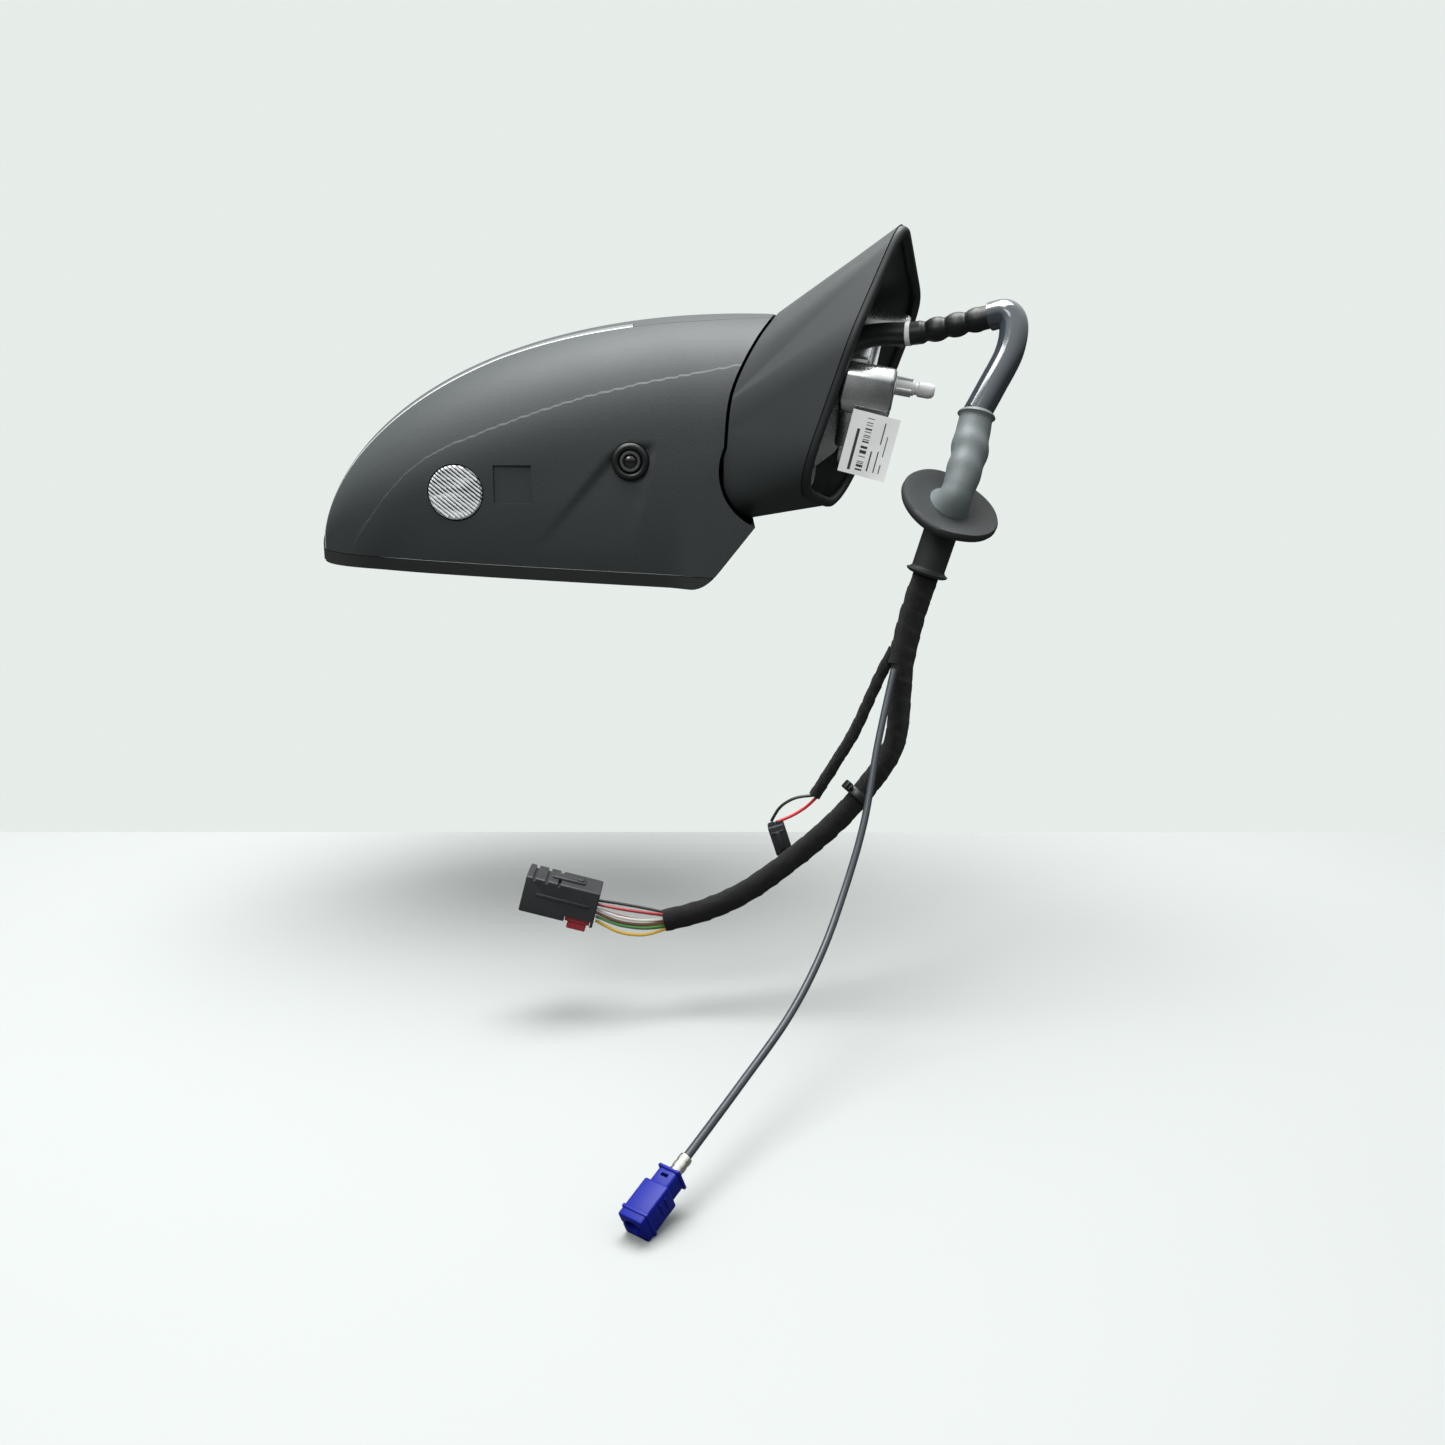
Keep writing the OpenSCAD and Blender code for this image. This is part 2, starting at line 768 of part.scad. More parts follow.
module flange_gasket() {
    color([0.07, 0.07, 0.075])
        on_flange(flange_x)
            difference() {
                linear_extrude(gasket_t)
                    flange_profile(0.6);
                translate([0, 0, -1])
                    linear_extrude(gasket_t + 2)
                        flange_profile(0.6 + gasket_w);
            }
}
module in_mount() {
    rotate([0, bolt_lean, bolt_yaw])
        children();
}
module on_mount(x) {
    in_mount()
        translate([x, 0, 0])
            rotate([90, 0, 90])
                children();
}
function bolt_angle(k) = 180 + 120 * k;
function bolt_at(k) = polar(bolt_circle / 2, bolt_angle(k));
pin_at = [2, 5];
pin_r = 4;
pin_free = 20;
shank_r = 3.2;
collar_r = 5.2;
collar_x = [-16, -0.4];
deck_t = 9;
deck_z = 3;
arm_x = -27;
// Room round the ribbed tube in the deck
tube_room = 0.9;
module bracket() {
    color([0.72, 0.73, 0.74])
        difference() {
            union() {
                // Deck under the fold axis, and the web that runs from it to the flange
                pin_y(pivot, 22, deck_y - deck_z - deck_t, deck_y - deck_z);
                slab(deck_y - deck_z - deck_t, deck_y - deck_z - 0.5)
                    polygon([pivot + [-6, -20], pivot + [-4, 20], [-26, 14], [-16, -8], [-30, -30]]);
                for (k = [0:2]) {
                    on_mount(arm_x)
                        rotate([0, 0, bolt_angle(k)])
                            translate([-2, -boss_d / 2 + 2, 0])
                                cube([bolt_circle / 2, boss_d - 4, 11]);
                    on_mount(arm_x + 5)
                        translate(bolt_at(k))
                            cylinder(d = boss_d, h = -arm_x - 5);
                }
                // Block that the three arms and the web meet in
                in_mount()
                    translate([-36, -8, -12])
                        cube([20, 28, 28]);
            }
            for (k = [0:2])
                on_mount(-bolt_bore_l)
                    translate(bolt_at(k))
                        cylinder(d = bolt_bore_d, h = bolt_bore_l + 1);
            pin_y(pivot, ribbed_d / 2 + tube_room, -30, 40);
            for (p = cover_spots)
                pin_y(p, cover_screw_r, 0, deck_y);
            on_mount(arm_x - 1)
                translate(pin_at)
                    cylinder(r = shank_r, h = 40);
        }
}
module locating_pin() {
    color([0.93, 0.94, 0.93])
        on_mount(0)
            translate(pin_at) {
                translate([0, 0, arm_x])
                    cylinder(r = shank_r, h = collar_x[0] - arm_x);
                translate([0, 0, collar_x[0]])
                    cylinder(r = collar_r, h = collar_x[1] - collar_x[0]);
                translate([0, 0, collar_x[1]])
                    cylinder(r = pin_r, h = pin_free - collar_x[1]);
            }
}
module cover_screws() {
    color([0.5, 0.51, 0.53])
        for (p = cover_spots) {
            pin_y(p, cover_screw_r, deck_y - deck_z - deck_t, deck_y - 0.8);
            pin_y(p, 2 * cover_screw_r, deck_y - deck_z - deck_t - 2.2, deck_y - deck_z - deck_t);
        }
}
// Paper sticker on the nearest boss
label_size = [24, 31];
module paper_label() {
    color([0.9, 0.9, 0.88])
        translate([-18, -47.5, -24])
            rotate([0, 14, -8])
                cube([label_size[0], 0.25, label_size[1]], center = true);
}

// ---- Harness: routes are points along each centre line ----
ribbed_path = [[-62, 14, -38.5], [-62, 3, -36], [-57, -10, -17], [-45, -13, 8], [-20, -12, 28], [10, -20, 31],
    [42, -34, 38]];
tube_path = [[42, -34, 38], [49, -38, 39], [52, -42, 33], [49, -48, 20], [40, -54, 4], [33, -58, -8]];
trunk_path = [[9, -72, -85], [2, -77, -105], [-4, -84, -128]];
thin_path = [[-6.5, -81, -120], [-14, -84, -134], [-26, -93, -158], [-35, -98, -172], [-46, -102, -189]];
thick_path = [[-3, -84.5, -124], [-4, -89, -143], [-7, -95, -164], [-17, -100, -180], [-38, -106, -203],
    [-72, -113, -229], [-96, -116, -241], [-119, -118, -247]];
coax_path = [[-8, -93, -128], [-17, -112, -160], [-25, -134, -192], [-36, -156, -219], [-48, -182, -238],
    [-63, -210, -253], [-84, -246, -265], [-104, -284, -273]];

module ribbed_tube() {
    color([0.05, 0.05, 0.055])
        tube(route(ribbed_path, 4), ribbed_d / 2, 12, [0, 1, 0]);
}
module smooth_tube() {
    color([0.06, 0.065, 0.07])
        tube(route(tube_path, 2), tube_d / 2, 12, [0, 1, 0]);
}
grommet_top = [33, -58, -8];
grommet_mid = [19, -72, -52];
grommet_end = [9, -72, -85];
grommet_face = [-0.32, 0.5, -0.8];
module grommet() {
    upper = norm(grommet_mid - grommet_top);
    lower = norm(grommet_end - grommet_mid);
    color([0.13, 0.135, 0.14]) {
        aim(grommet_top, grommet_mid) {
            cylinder(r1 = tube_d / 2 + 2.2, r2 = tube_d / 2 + 2.2, h = 4);
            translate([0, 0, 4])
                cylinder(r1 = tube_d / 2 + 1, r2 = tube_d / 2 + 4, h = upper - 4);
        }
        aim(grommet_mid, grommet_mid + grommet_face)
            translate([0, 0, -2])
                cylinder(r = grommet_d / 2, h = 4);
        aim(grommet_mid, grommet_end) {
            cylinder(r = trunk_d / 2 + 2, h = lower - 4);
            translate([0, 0, lower - 4])
                cylinder(r = trunk_d / 2 + 3.2, h = 4);
        }
    }
}
module trunk() {
    color([0.035, 0.035, 0.04])
        tube(route(trunk_path, 2), trunk_d / 2, 12);
}
module thick_branch() {
    color([0.035, 0.035, 0.04])
        tube(route(thick_path, 1), thick_d / 2, 10);
}
module thin_branch() {
    color([0.035, 0.035, 0.04])
        tube(route(thin_path, 1), thin_d / 2, 8);
}
module coax_cable() {
    color([0.1, 0.105, 0.11])
        tube(route(coax_path, 2), coax_d / 2, 8);
}
module cable_tie() {
    a = thick_path[3];
    b = thick_path[4];
    color([0.04, 0.04, 0.045])
        aim(mix(a, b, 0.3), b) {
            difference() {
                cylinder(r = thick_d / 2 + 1.9, h = 4);
                translate([0, 0, -1])
                    cylinder(r = thick_d / 2 + 0.6, h = 6);
            }
            translate([-2, thick_d / 2 + 1.5, -0.2])
                cube([4, 3.2, 4.4]);
        }
}
lead_end = [-65, -99, -203];
lead_tilt = -18;
module lead_wires() {
    start = thin_path[len(thin_path) - 1];
    for (s = [-1, 1])
        color(s < 0 ? [0.05, 0.05, 0.05] : [0.7, 0.06, 0.06])
            tube([start + [0, s, s], mix(start, lead_end, 0.5) + [0, s * 1.5, 2 + s * 2],
                lead_end + [0, s, s]], 0.7, 6);
}
module lead_plug() {
    color([0.09, 0.09, 0.095])
        translate(lead_end)
            rotate([0, lead_tilt, 0])
                translate([-4, -4, -16])
                    cube([8, 8, 16]);
}
wire_count = 10;
wire_end = [-151, -121, -239];
module plug_wires() {
    start = thick_path[len(thick_path) - 1];
    cols = [[0.85, 0.7, 0.1], [0.1, 0.45, 0.25], [0.35, 0.2, 0.1], [0.85, 0.85, 0.85], [0.6, 0.15, 0.12]];
    for (k = [0:wire_count - 1])
        let (row = k % 5 - 2, col = floor(k / 5) - 0.5)
        color(cols[k % 5])
            tube([start + [0, col * 2.2, row * 1.7], mix(start, wire_end, 0.5) + [0, col * 3.5, row * 2.6],
                wire_end + [0, col * 4, row * 2.4]], 0.65, 6);
}
plug_tilt = 15;
module in_plug() {
    translate(wire_end)
        rotate([0, plug_tilt, 0])
            children();
}
module main_plug() {
    color([0.05, 0.05, 0.055])
        in_plug()
            difference() {
                translate([-36, -9, -7.5])
                    cube([36, 18, 18]);
                translate([-14, -10, -8.5])
                    cube([12 + 2 * gap, 20, 4]);
            }
}
module plug_lock() {
    color([0.65, 0.08, 0.1])
        in_plug()
            translate([-14 + gap, -7, -11.5])
                cube([12, 14, 6.7]);
}
coax_end = coax_path[len(coax_path) - 1];
coax_dir = [-0.56, -0.72, -0.41];
module in_coax(d) {
    aim(coax_end, coax_end + coax_dir)
        translate([0, 0, d])
            children();
}
module coax_ferrule() {
    color([0.78, 0.77, 0.7])
        in_coax(0)
            cylinder(r = 2.6, h = 8);
}
module coax_plug() {
    color([0.08, 0.16, 0.62])
        in_coax(8)
            difference() {
                union() {
                    translate([-4.5, -4.5, 0])
                        cube([9, 9, 8]);
                    translate([-5.5, -5.5, 8])
                        cube([11, 11, 17]);
                }
                translate([5.5 - 2, -3 - gap, 9])
                    cube([4, 6 + 2 * gap, 9]);
            }
}
module coax_lock() {
    color([0.55, 0.1, 0.5])
        in_coax(8)
            translate([5.5 - 1.7, -3, 9.3])
                cube([3.2, 6, 6]);
}

bracket();
foot_cover();
flange_gasket();
cover_screws();
locating_pin();
paper_label();
pivot_post();
detent_ring();
fold_gear();
fold_spring();
retaining_nut();
carrier_frame();
post_bush();
lower_shell();
skull_cap();
bezel_ring();
actuator_screws();
signal_lens();
signal_guide();
signal_board();
lamp_lens();
lamp_housing();
lamp_board();
camera_body();
camera_bezel();
camera_lens();
drive_housing();
fold_motor();
fold_worm();
worm_bearings();
actuator_housing();
tilt_motors();
side_plunger();
height_plunger();
tilt_gimbal();
mirror_glass();
heater_pad();
glass_backing();
ribbed_tube();
smooth_tube();
grommet();
trunk();
cable_tie();
thin_branch();
lead_wires();
lead_plug();
thick_branch();
plug_wires();
main_plug();
plug_lock();
coax_cable();
coax_ferrule();
coax_plug();
coax_lock();
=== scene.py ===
import json
import math
import bpy
import bmesh
from mathutils import Vector, Matrix, noise


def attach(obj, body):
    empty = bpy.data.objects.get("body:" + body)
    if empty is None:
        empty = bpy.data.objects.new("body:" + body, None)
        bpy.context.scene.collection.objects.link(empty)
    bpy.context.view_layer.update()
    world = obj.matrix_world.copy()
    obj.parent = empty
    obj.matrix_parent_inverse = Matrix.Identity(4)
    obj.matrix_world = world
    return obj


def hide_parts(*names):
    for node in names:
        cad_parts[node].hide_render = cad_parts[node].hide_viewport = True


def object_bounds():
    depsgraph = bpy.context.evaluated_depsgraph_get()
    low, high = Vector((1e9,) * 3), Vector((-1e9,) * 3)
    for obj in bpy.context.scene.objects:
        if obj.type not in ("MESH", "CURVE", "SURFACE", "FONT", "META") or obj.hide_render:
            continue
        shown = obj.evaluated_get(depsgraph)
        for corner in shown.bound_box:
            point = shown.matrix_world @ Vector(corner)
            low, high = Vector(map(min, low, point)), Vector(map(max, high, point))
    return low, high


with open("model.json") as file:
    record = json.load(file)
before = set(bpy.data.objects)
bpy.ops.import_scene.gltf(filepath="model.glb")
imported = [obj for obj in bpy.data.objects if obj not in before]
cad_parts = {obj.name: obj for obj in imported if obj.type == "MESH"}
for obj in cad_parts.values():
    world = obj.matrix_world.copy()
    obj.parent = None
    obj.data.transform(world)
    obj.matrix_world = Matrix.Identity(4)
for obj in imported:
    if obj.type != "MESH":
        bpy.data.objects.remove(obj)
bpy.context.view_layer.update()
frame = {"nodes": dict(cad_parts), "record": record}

record = frame["record"]
scene = bpy.context.scene
MM = 0.001
ALONG_Y = (0, 1, 0)


def add_object(name, data):
    ob = bpy.data.objects.new(name, data)
    scene.collection.objects.link(ob)
    return ob


# ---- Node helpers ----
def node(t, kind, inputs=None, **settings):
    """Adds a node. Its settings come first; an input takes a value, or the output that feeds it."""
    made = t.nodes.new(kind)
    for key, value in settings.items():
        setattr(made, key, value)
    for key, value in (inputs or {}).items():
        if isinstance(value, bpy.types.NodeSocket):
            t.links.new(value, made.inputs[key])
        else:
            made.inputs[key].default_value = value
    return made


def node_math(t, op, *values):
    return node(t, "ShaderNodeMath", dict(enumerate(values)), operation=op).outputs["Value"]


def split_xyz(t, vector):
    return node(t, "ShaderNodeSeparateXYZ", {"Vector": vector}).outputs


def mix_colors(t, factor, a, b):
    return node(t, "ShaderNodeMix", {"Factor": factor, "A": a, "B": b}, data_type="RGBA").outputs["Result"]


def color_ramp(t, factor, *stops):
    """stops are two of (position, colour)."""
    ramp = node(t, "ShaderNodeValToRGB", {"Fac": factor})
    for element, (position, color) in zip(ramp.color_ramp.elements, stops):
        element.position, element.color = position, color
    return ramp.outputs["Color"]


def seen_and_lit(t, lit, seen, surface):
    """The eye sees one shader, and the other one throws the light."""
    path = node(t, "ShaderNodeLightPath")
    mix = node(t, "ShaderNodeMixShader", {"Fac": path.outputs["Is Camera Ray"], 1: lit, 2: seen})
    t.links.new(mix.outputs["Shader"], surface)


def new_tree(kind, name, inputs, outputs):
    """A node group with its named sockets, and the sockets to build between."""
    t = bpy.data.node_groups.new(name, kind)
    for label, socket, value in inputs:
        s = t.interface.new_socket(name=label, in_out="INPUT", socket_type="NodeSocket" + socket)
        if value is not None:
            s.default_value = value
    for label, socket in outputs:
        t.interface.new_socket(name=label, in_out="OUTPUT", socket_type="NodeSocket" + socket)
    return t, node(t, "NodeGroupInput").outputs, node(t, "NodeGroupOutput").inputs


# ---- Camera and light ----
def add_camera():
    cam = add_object("camera", bpy.data.cameras.new("camera"))
    cam.data.sensor_width = 36.0
    cam.data.lens = 33.88
    cam.data.clip_start = 0.01
    cam.location = (-0.0906, -0.735, 0.0059)
    cam.rotation_euler = (math.radians(76.0), 0.0, 0.0)
    scene.camera = cam


def area_light(name, place, aim, size, power):
    data = bpy.data.lights.new(name, "AREA")
    data.shape = "RECTANGLE"
    data.size, data.size_y = size
    data.energy = power
    ob = add_object(name, data)
    ob.location = place
    ob.rotation_euler = (Vector(aim) - Vector(place)).to_track_quat("-Z", "Y").to_euler()


def studio_light():
    """Pale wall as the eye sees it; as light it is bright overhead and falls off towards the ground."""
    world = bpy.data.worlds.new("studio")
    scene.world = world
    world.use_nodes = True
    t = world.node_tree
    wall = t.nodes["Background"]
    wall.inputs["Color"].default_value = (0.795, 0.845, 0.815, 1)
    height = split_xyz(t, node(t, "ShaderNodeTexCoord").outputs["Generated"])["Z"]
    tone = color_ramp(t, height, (0.0, (0.035, 0.037, 0.036, 1)), (0.75, (1.15, 1.19, 1.18, 1)))
    soft = node(t, "ShaderNodeBackground", {"Color": tone})
    seen_and_lit(t, soft.outputs["Background"], wall.outputs["Background"],
                 t.nodes["World Output"].inputs["Surface"])


add_camera()
studio_light()
scene.view_settings.view_transform = "Standard"
area_light("top_light", (-0.2, 0.1, 1.0), (-0.15, 0.02, 0.0), (1.1, 0.7), 27.0)
area_light("front_light", (-0.7, -1.2, 1.0), (-0.12, 0.0, 0.0), (0.8, 0.6), 9.0)


# ---- Mesh helpers: everything is drawn in millimetres and scaled once at the end ----
def new_object(name, verts, faces, edges=()):
    me = bpy.data.meshes.new(name)
    me.from_pydata([tuple(v) for v in verts], list(edges), faces)
    me.update()
    return add_object(name, me)


def outward(ob):
    bm = bmesh.new()
    bm.from_mesh(ob.data)
    bmesh.ops.recalc_face_normals(bm, faces=bm.faces)
    bm.to_mesh(ob.data)
    bm.free()
    return ob


def loft(name, rings, closed=False):
    """A skin over rings of equal count; closed joins the last ring to the first."""
    m, n = len(rings), len(rings[0])
    verts = [p for r in rings for p in r]
    faces = []
    for i in range(m if closed else m - 1):
        a, b = i * n, ((i + 1) % m) * n
        for j in range(n):
            k = (j + 1) % n
            faces.append((a + j, a + k, b + k, b + j))
    if not closed:
        faces.append(tuple(range(n - 1, -1, -1)))
        faces.append(tuple((m - 1) * n + j for j in range(n)))
    return outward(new_object(name, verts, faces))


def join(name, obs):
    verts, faces, slots, mats = [], [], [], []
    for ob in obs:
        base = len(verts)
        verts += [v.co.copy() for v in ob.data.vertices]
        faces += [tuple(base + i for i in p.vertices) for p in ob.data.polygons]
        for p in ob.data.polygons:
            m = ob.data.materials[p.material_index] if ob.data.materials else None
            if m and m not in mats:
                mats.append(m)
            slots.append(mats.index(m) if m else 0)
        bpy.data.objects.remove(ob)
    out = new_object(name, verts, faces)
    for m in mats:
        out.data.materials.append(m)
    out.data.polygons.foreach_set("material_index", slots)
    return out


def keep_result(ob):
    """What the object's modifiers make becomes its own plain mesh."""
    dg = bpy.context.evaluated_depsgraph_get()
    dg.update()
    me = bpy.data.meshes.new_from_object(ob.evaluated_get(dg))
    ob.modifiers.clear()
    ob.data = me
    return ob


def boolean(ob, other, op="DIFFERENCE"):
    mod = ob.modifiers.new("cut", "BOOLEAN")
    mod.operation = op
    mod.object = other
    mod.solver = "MANIFOLD"
    keep_result(ob)
    bpy.data.objects.remove(other)
    return ob


def copy_of(ob, name):
    return add_object(name, ob.data.copy())


def basis(direction, ref=(0, 0, 1)):
    """Turns local Z to the direction."""
    z = Vector(direction).normalized()
    r = Vector(ref)
    if abs(z.dot(r.normalized())) > 0.98:
        r = Vector((1, 0, 0))
    x = r.cross(z).normalized()
    y = z.cross(x)
    return Matrix((x, y, z)).transposed()


def finished(bm, me, place, bevel, segments):
    """Bevels the edges, moves the shape to its place and writes it to the mesh."""
    if bevel:
        bmesh.ops.bevel(bm, geom=bm.edges[:], offset=bevel, segments=segments, affect="EDGES", profile=0.5)
    if place:
        bmesh.ops.transform(bm, matrix=place, verts=bm.verts)
    bm.to_mesh(me)
    bm.free()


def box(name, lo, hi, place=None, bevel=0.0, segments=3):
    bm = bmesh.new()
    bmesh.ops.create_cube(bm, size=1.0)
    for v in bm.verts:
        v.co = Vector([lo[i] + (v.co[i] + 0.5) * (hi[i] - lo[i]) for i in range(3)])
    me = bpy.data.meshes.new(name)
    finished(bm, me, place, bevel, segments)
    return add_object(name, me)


def prism(name, outline, h0, h1, place=None, bevel=0.0, segments=2):
    """A flat outline in X and Y, made solid between two heights."""
    ob = loft(name, [[(x, y, h) for x, y in outline] for h in (h0, h1)])
    bm = bmesh.new()
    bm.from_mesh(ob.data)
    finished(bm, ob.data, place, bevel, segments)
    return ob


def slab(name, outline, y0, y1):
    """A flat outline in X and Z, made solid between two values of Y."""
    return loft(name, [[(x, y, z) for x, z in outline] for y in (y0, y1)])


def revolve(name, profile, origin, direction, sides=64, ring=False):
    """Turns a profile of (radius, height) about an axis. ring closes the profile on itself."""
    rot = basis(direction)
    o = Vector(origin)
    rings = []
    for r, h in profile:
        rings.append([o + rot @ Vector((r * math.cos(2 * math.pi * k / sides),
                                        r * math.sin(2 * math.pi * k / sides), h)) for k in range(sides)])
    return loft(name, rings, ring)


def curve_point(p, i, t):
    """A point of the smooth curve through p, a share t of the way from point i to the next."""
    a, b, c, d = p[max(i - 1, 0)], p[i], p[i + 1], p[min(i + 2, len(p) - 1)]
    return (2 * b + (c - a) * t + (2 * a - 5 * b + 4 * c - d) * t * t + (3 * b - a - 3 * c + d) * t ** 3) / 2


def route(points, count):
    p = [Vector(q) for q in points]
    return [curve_point(p, i, k / count) for i in range(len(p) - 1) for k in range(count)] + [p[-1]]


def measure(points):
    return sum((b - a).length for a, b in zip(points, points[1:]))


def even(points, step):
    """The same line with points an even step apart."""
    total = measure(points)
    count = max(2, round(total / step))
    out, i, run = [], 0, 0.0
    for k in range(count + 1):
        want = total * k / count
        while i < len(points) - 2 and run + (points[i + 1] - points[i]).length < want:
            run += (points[i + 1] - points[i]).length
            i += 1
        seg = (points[i + 1] - points[i]).length
        out.append(points[i].lerp(points[i + 1], min(1.0, max(0.0, (want - run) / seg))))
    return out


def tube(name, points, radius, sides=24):
    """A tube along points. radius is a function of (distance, angle)."""
    rings, run = [], 0.0
    u = None
    for i, p in enumerate(points):
        t = (points[min(i + 1, len(points) - 1)] - points[max(i - 1, 0)]).normalized()
        if u is None:
            u = t.orthogonal().normalized()
        u = (u - t * u.dot(t)).normalized()
        v = t.cross(u)
        if i:
            run += (p - points[i - 1]).length
        ring = []
        for k in range(sides):
            a = 2 * math.pi * k / sides
            ring.append(p + (u * math.cos(a) + v * math.sin(a)) * radius(run, a))
        rings.append(ring)
    return loft(name, rings)


# ---- Node trees for what repeats or follows a line ----
def geo(t, kind, inputs=None):
    return node(t, "GeometryNode" + kind, inputs)


def shape_tree(name, inputs):
    """A Geometry Nodes tree with the sizes it is given and the finish of what it makes."""
    inputs = [("Geometry", "Geometry", None)] + inputs + [("Finish", "Material", None)]
    t, given, result = new_tree("GeometryNodeTree", name, inputs, [("Geometry", "Geometry")])
    t.is_modifier = True
    return t, given, result


def end_tree(t, given, result, shape):
    """Every tree ends alike: its copies are made real and take their finish."""
    real = geo(t, "RealizeInstances", {"Geometry": shape})
    paint = geo(t, "SetMaterial", {"Geometry": real.outputs["Geometry"], "Material": given["Finish"]})
    t.links.new(paint.outputs["Geometry"], result["Geometry"])
    return t


def swept_line_tree():
    """A tube along an edge line, with rings that stand out between two lengths."""
    t, given, result = shape_tree("swept_line", [
        ("Radius", "Float", 1.0), ("Sides", "Int", 24), ("Rib Height", "Float", 0.0),
        ("Rib Pitch", "Float", 10.0), ("Ribs From", "Float", 0.0), ("Ribs To", "Float", 0.0)])
    fade_in, fade_out = 3.0, 2.0
    run = geo(t, "SplineParameter").outputs["Length"]
    wave = node_math(t, "COSINE", node_math(t, "MULTIPLY", node_math(t, "DIVIDE", run, given["Rib Pitch"]),
                                            2 * math.pi))
    # Broad rings with narrow grooves between them
    groove = node_math(t, "POWER", node_math(t, "MULTIPLY_ADD", wave, -0.5, 0.5), 5.0)
    broad = node_math(t, "SUBTRACT", node_math(t, "MULTIPLY", wave, 0.6), node_math(t, "MULTIPLY", groove, 0.9))
    after = node_math(t, "DIVIDE", node_math(t, "SUBTRACT", run, given["Ribs From"]), fade_in)
    before = node_math(t, "DIVIDE", node_math(t, "SUBTRACT", given["Ribs To"], run), fade_out)
    share = node_math(t, "MAXIMUM", node_math(t, "MINIMUM", node_math(t, "MINIMUM", after, before), 1.0), 0.0)
    rise = node_math(t, "MULTIPLY", node_math(t, "MULTIPLY", broad, given["Rib Height"]), share)
    line = geo(t, "MeshToCurve", {"Mesh": given["Geometry"]})
    circle = geo(t, "CurvePrimitiveCircle", {"Resolution": given["Sides"], "Radius": 1.0})
    sweep = geo(t, "CurveToMesh", {
        "Curve": line.outputs["Curve"], "Profile Curve": circle.outputs["Curve"],
        "Scale": node_math(t, "ADD", given["Radius"], rise), "Fill Caps": True})
    return end_tree(t, given, result, sweep.outputs["Mesh"])


def bar_row_tree():
    """Equal bars in a straight row, for grips, seals and ribs."""
    t, given, result = shape_tree("bar_row", [
        ("Count", "Int", 3), ("Start", "Vector", (0, 0, 0)), ("Step", "Vector", (0, 0, 1)),
        ("Size", "Vector", (1, 1, 1))])
    row = geo(t, "MeshLine", {"Count": given["Count"], "Start Location": given["Start"], "Offset": given["Step"]})
    bar = geo(t, "MeshCube", {"Size": given["Size"]})
    put = geo(t, "InstanceOnPoints", {"Points": row.outputs["Mesh"], "Instance": bar.outputs["Mesh"]})
    return end_tree(t, given, result, put.outputs["Instances"])


def lens_rib_tree():
    """Round ribs side by side across a disc, each as long as the disc is wide there."""
    t, given, result = shape_tree("lens_ribs", [
        ("Count", "Int", 20), ("Disc Radius", "Float", 13.0), ("Rib Height", "Float", 0.6)])
    radius = given["Disc Radius"]
    pitch = node_math(t, "DIVIDE", node_math(t, "MULTIPLY", radius, 2.0), given["Count"])
    half_pitch = node_math(t, "MULTIPLY", pitch, 0.5)
    start = node(t, "ShaderNodeCombineXYZ", {"X": node_math(t, "SUBTRACT", half_pitch, radius)})
    step = node(t, "ShaderNodeCombineXYZ", {"X": pitch})
    row = geo(t, "MeshLine", {"Count": given["Count"], "Start Location": start.outputs["Vector"],
                              "Offset": step.outputs["Vector"]})
    rod = geo(t, "MeshCylinder", {"Vertices": 16, "Radius": 1.0, "Depth": 1.0})
    lying = geo(t, "Transform", {"Geometry": rod.outputs["Mesh"], "Rotation": (math.radians(90), 0.0, 0.0)})
    off = split_xyz(t, geo(t, "InputPosition").outputs["Position"])["X"]
    room = node_math(t, "SUBTRACT", node_math(t, "MULTIPLY", radius, radius), node_math(t, "MULTIPLY", off, off))
    size = node(t, "ShaderNodeCombineXYZ", {
        "X": half_pitch, "Y": node_math(t, "MULTIPLY", node_math(t, "SQRT", room), 2.0),
        "Z": given["Rib Height"]})
    put = geo(t, "InstanceOnPoints", {"Points": row.outputs["Mesh"], "Instance": lying.outputs["Geometry"],
                                      "Scale": size.outputs["Vector"]})
    return end_tree(t, given, result, put.outputs["Instances"])


SWEPT, BARS, LENS_RIBS = swept_line_tree(), bar_row_tree(), lens_rib_tree()


def run_tree(ob, tree, values, place=None):
    """Puts a tree on an object, keeps what it makes as a plain mesh, and moves it to its place."""
    mod = ob.modifiers.new(tree.name, "NODES")
    mod.node_group = tree
    sockets = {s.name: s.identifier for s in tree.interface.items_tree if s.in_out == "INPUT"}
    for key, value in values.items():
        mod[sockets[key]] = value
    keep_result(ob)
    if place:
        ob.data.transform(place)
    return ob


def swept(name, points, radius, sides, finish, ribs=None):
    """ribs are their height, their pitch, and the lengths where they start and end."""
    line = new_object(name, points, [], [(i, i + 1) for i in range(len(points) - 1)])
    values = {"Radius": float(radius), "Sides": sides, "Finish": finish}
    if ribs:
        values.update(zip(("Rib Height", "Rib Pitch", "Ribs From", "Ribs To"), map(float, ribs)))
    return outward(run_tree(line, SWEPT, values))


def bar_row(name, count, start, step, size, place):
    """start is the centre of the first bar."""
    values = {"Count": count, "Start": start, "Step": step, "Size": size}
    return run_tree(new_object(name, [], []), BARS, values, place)


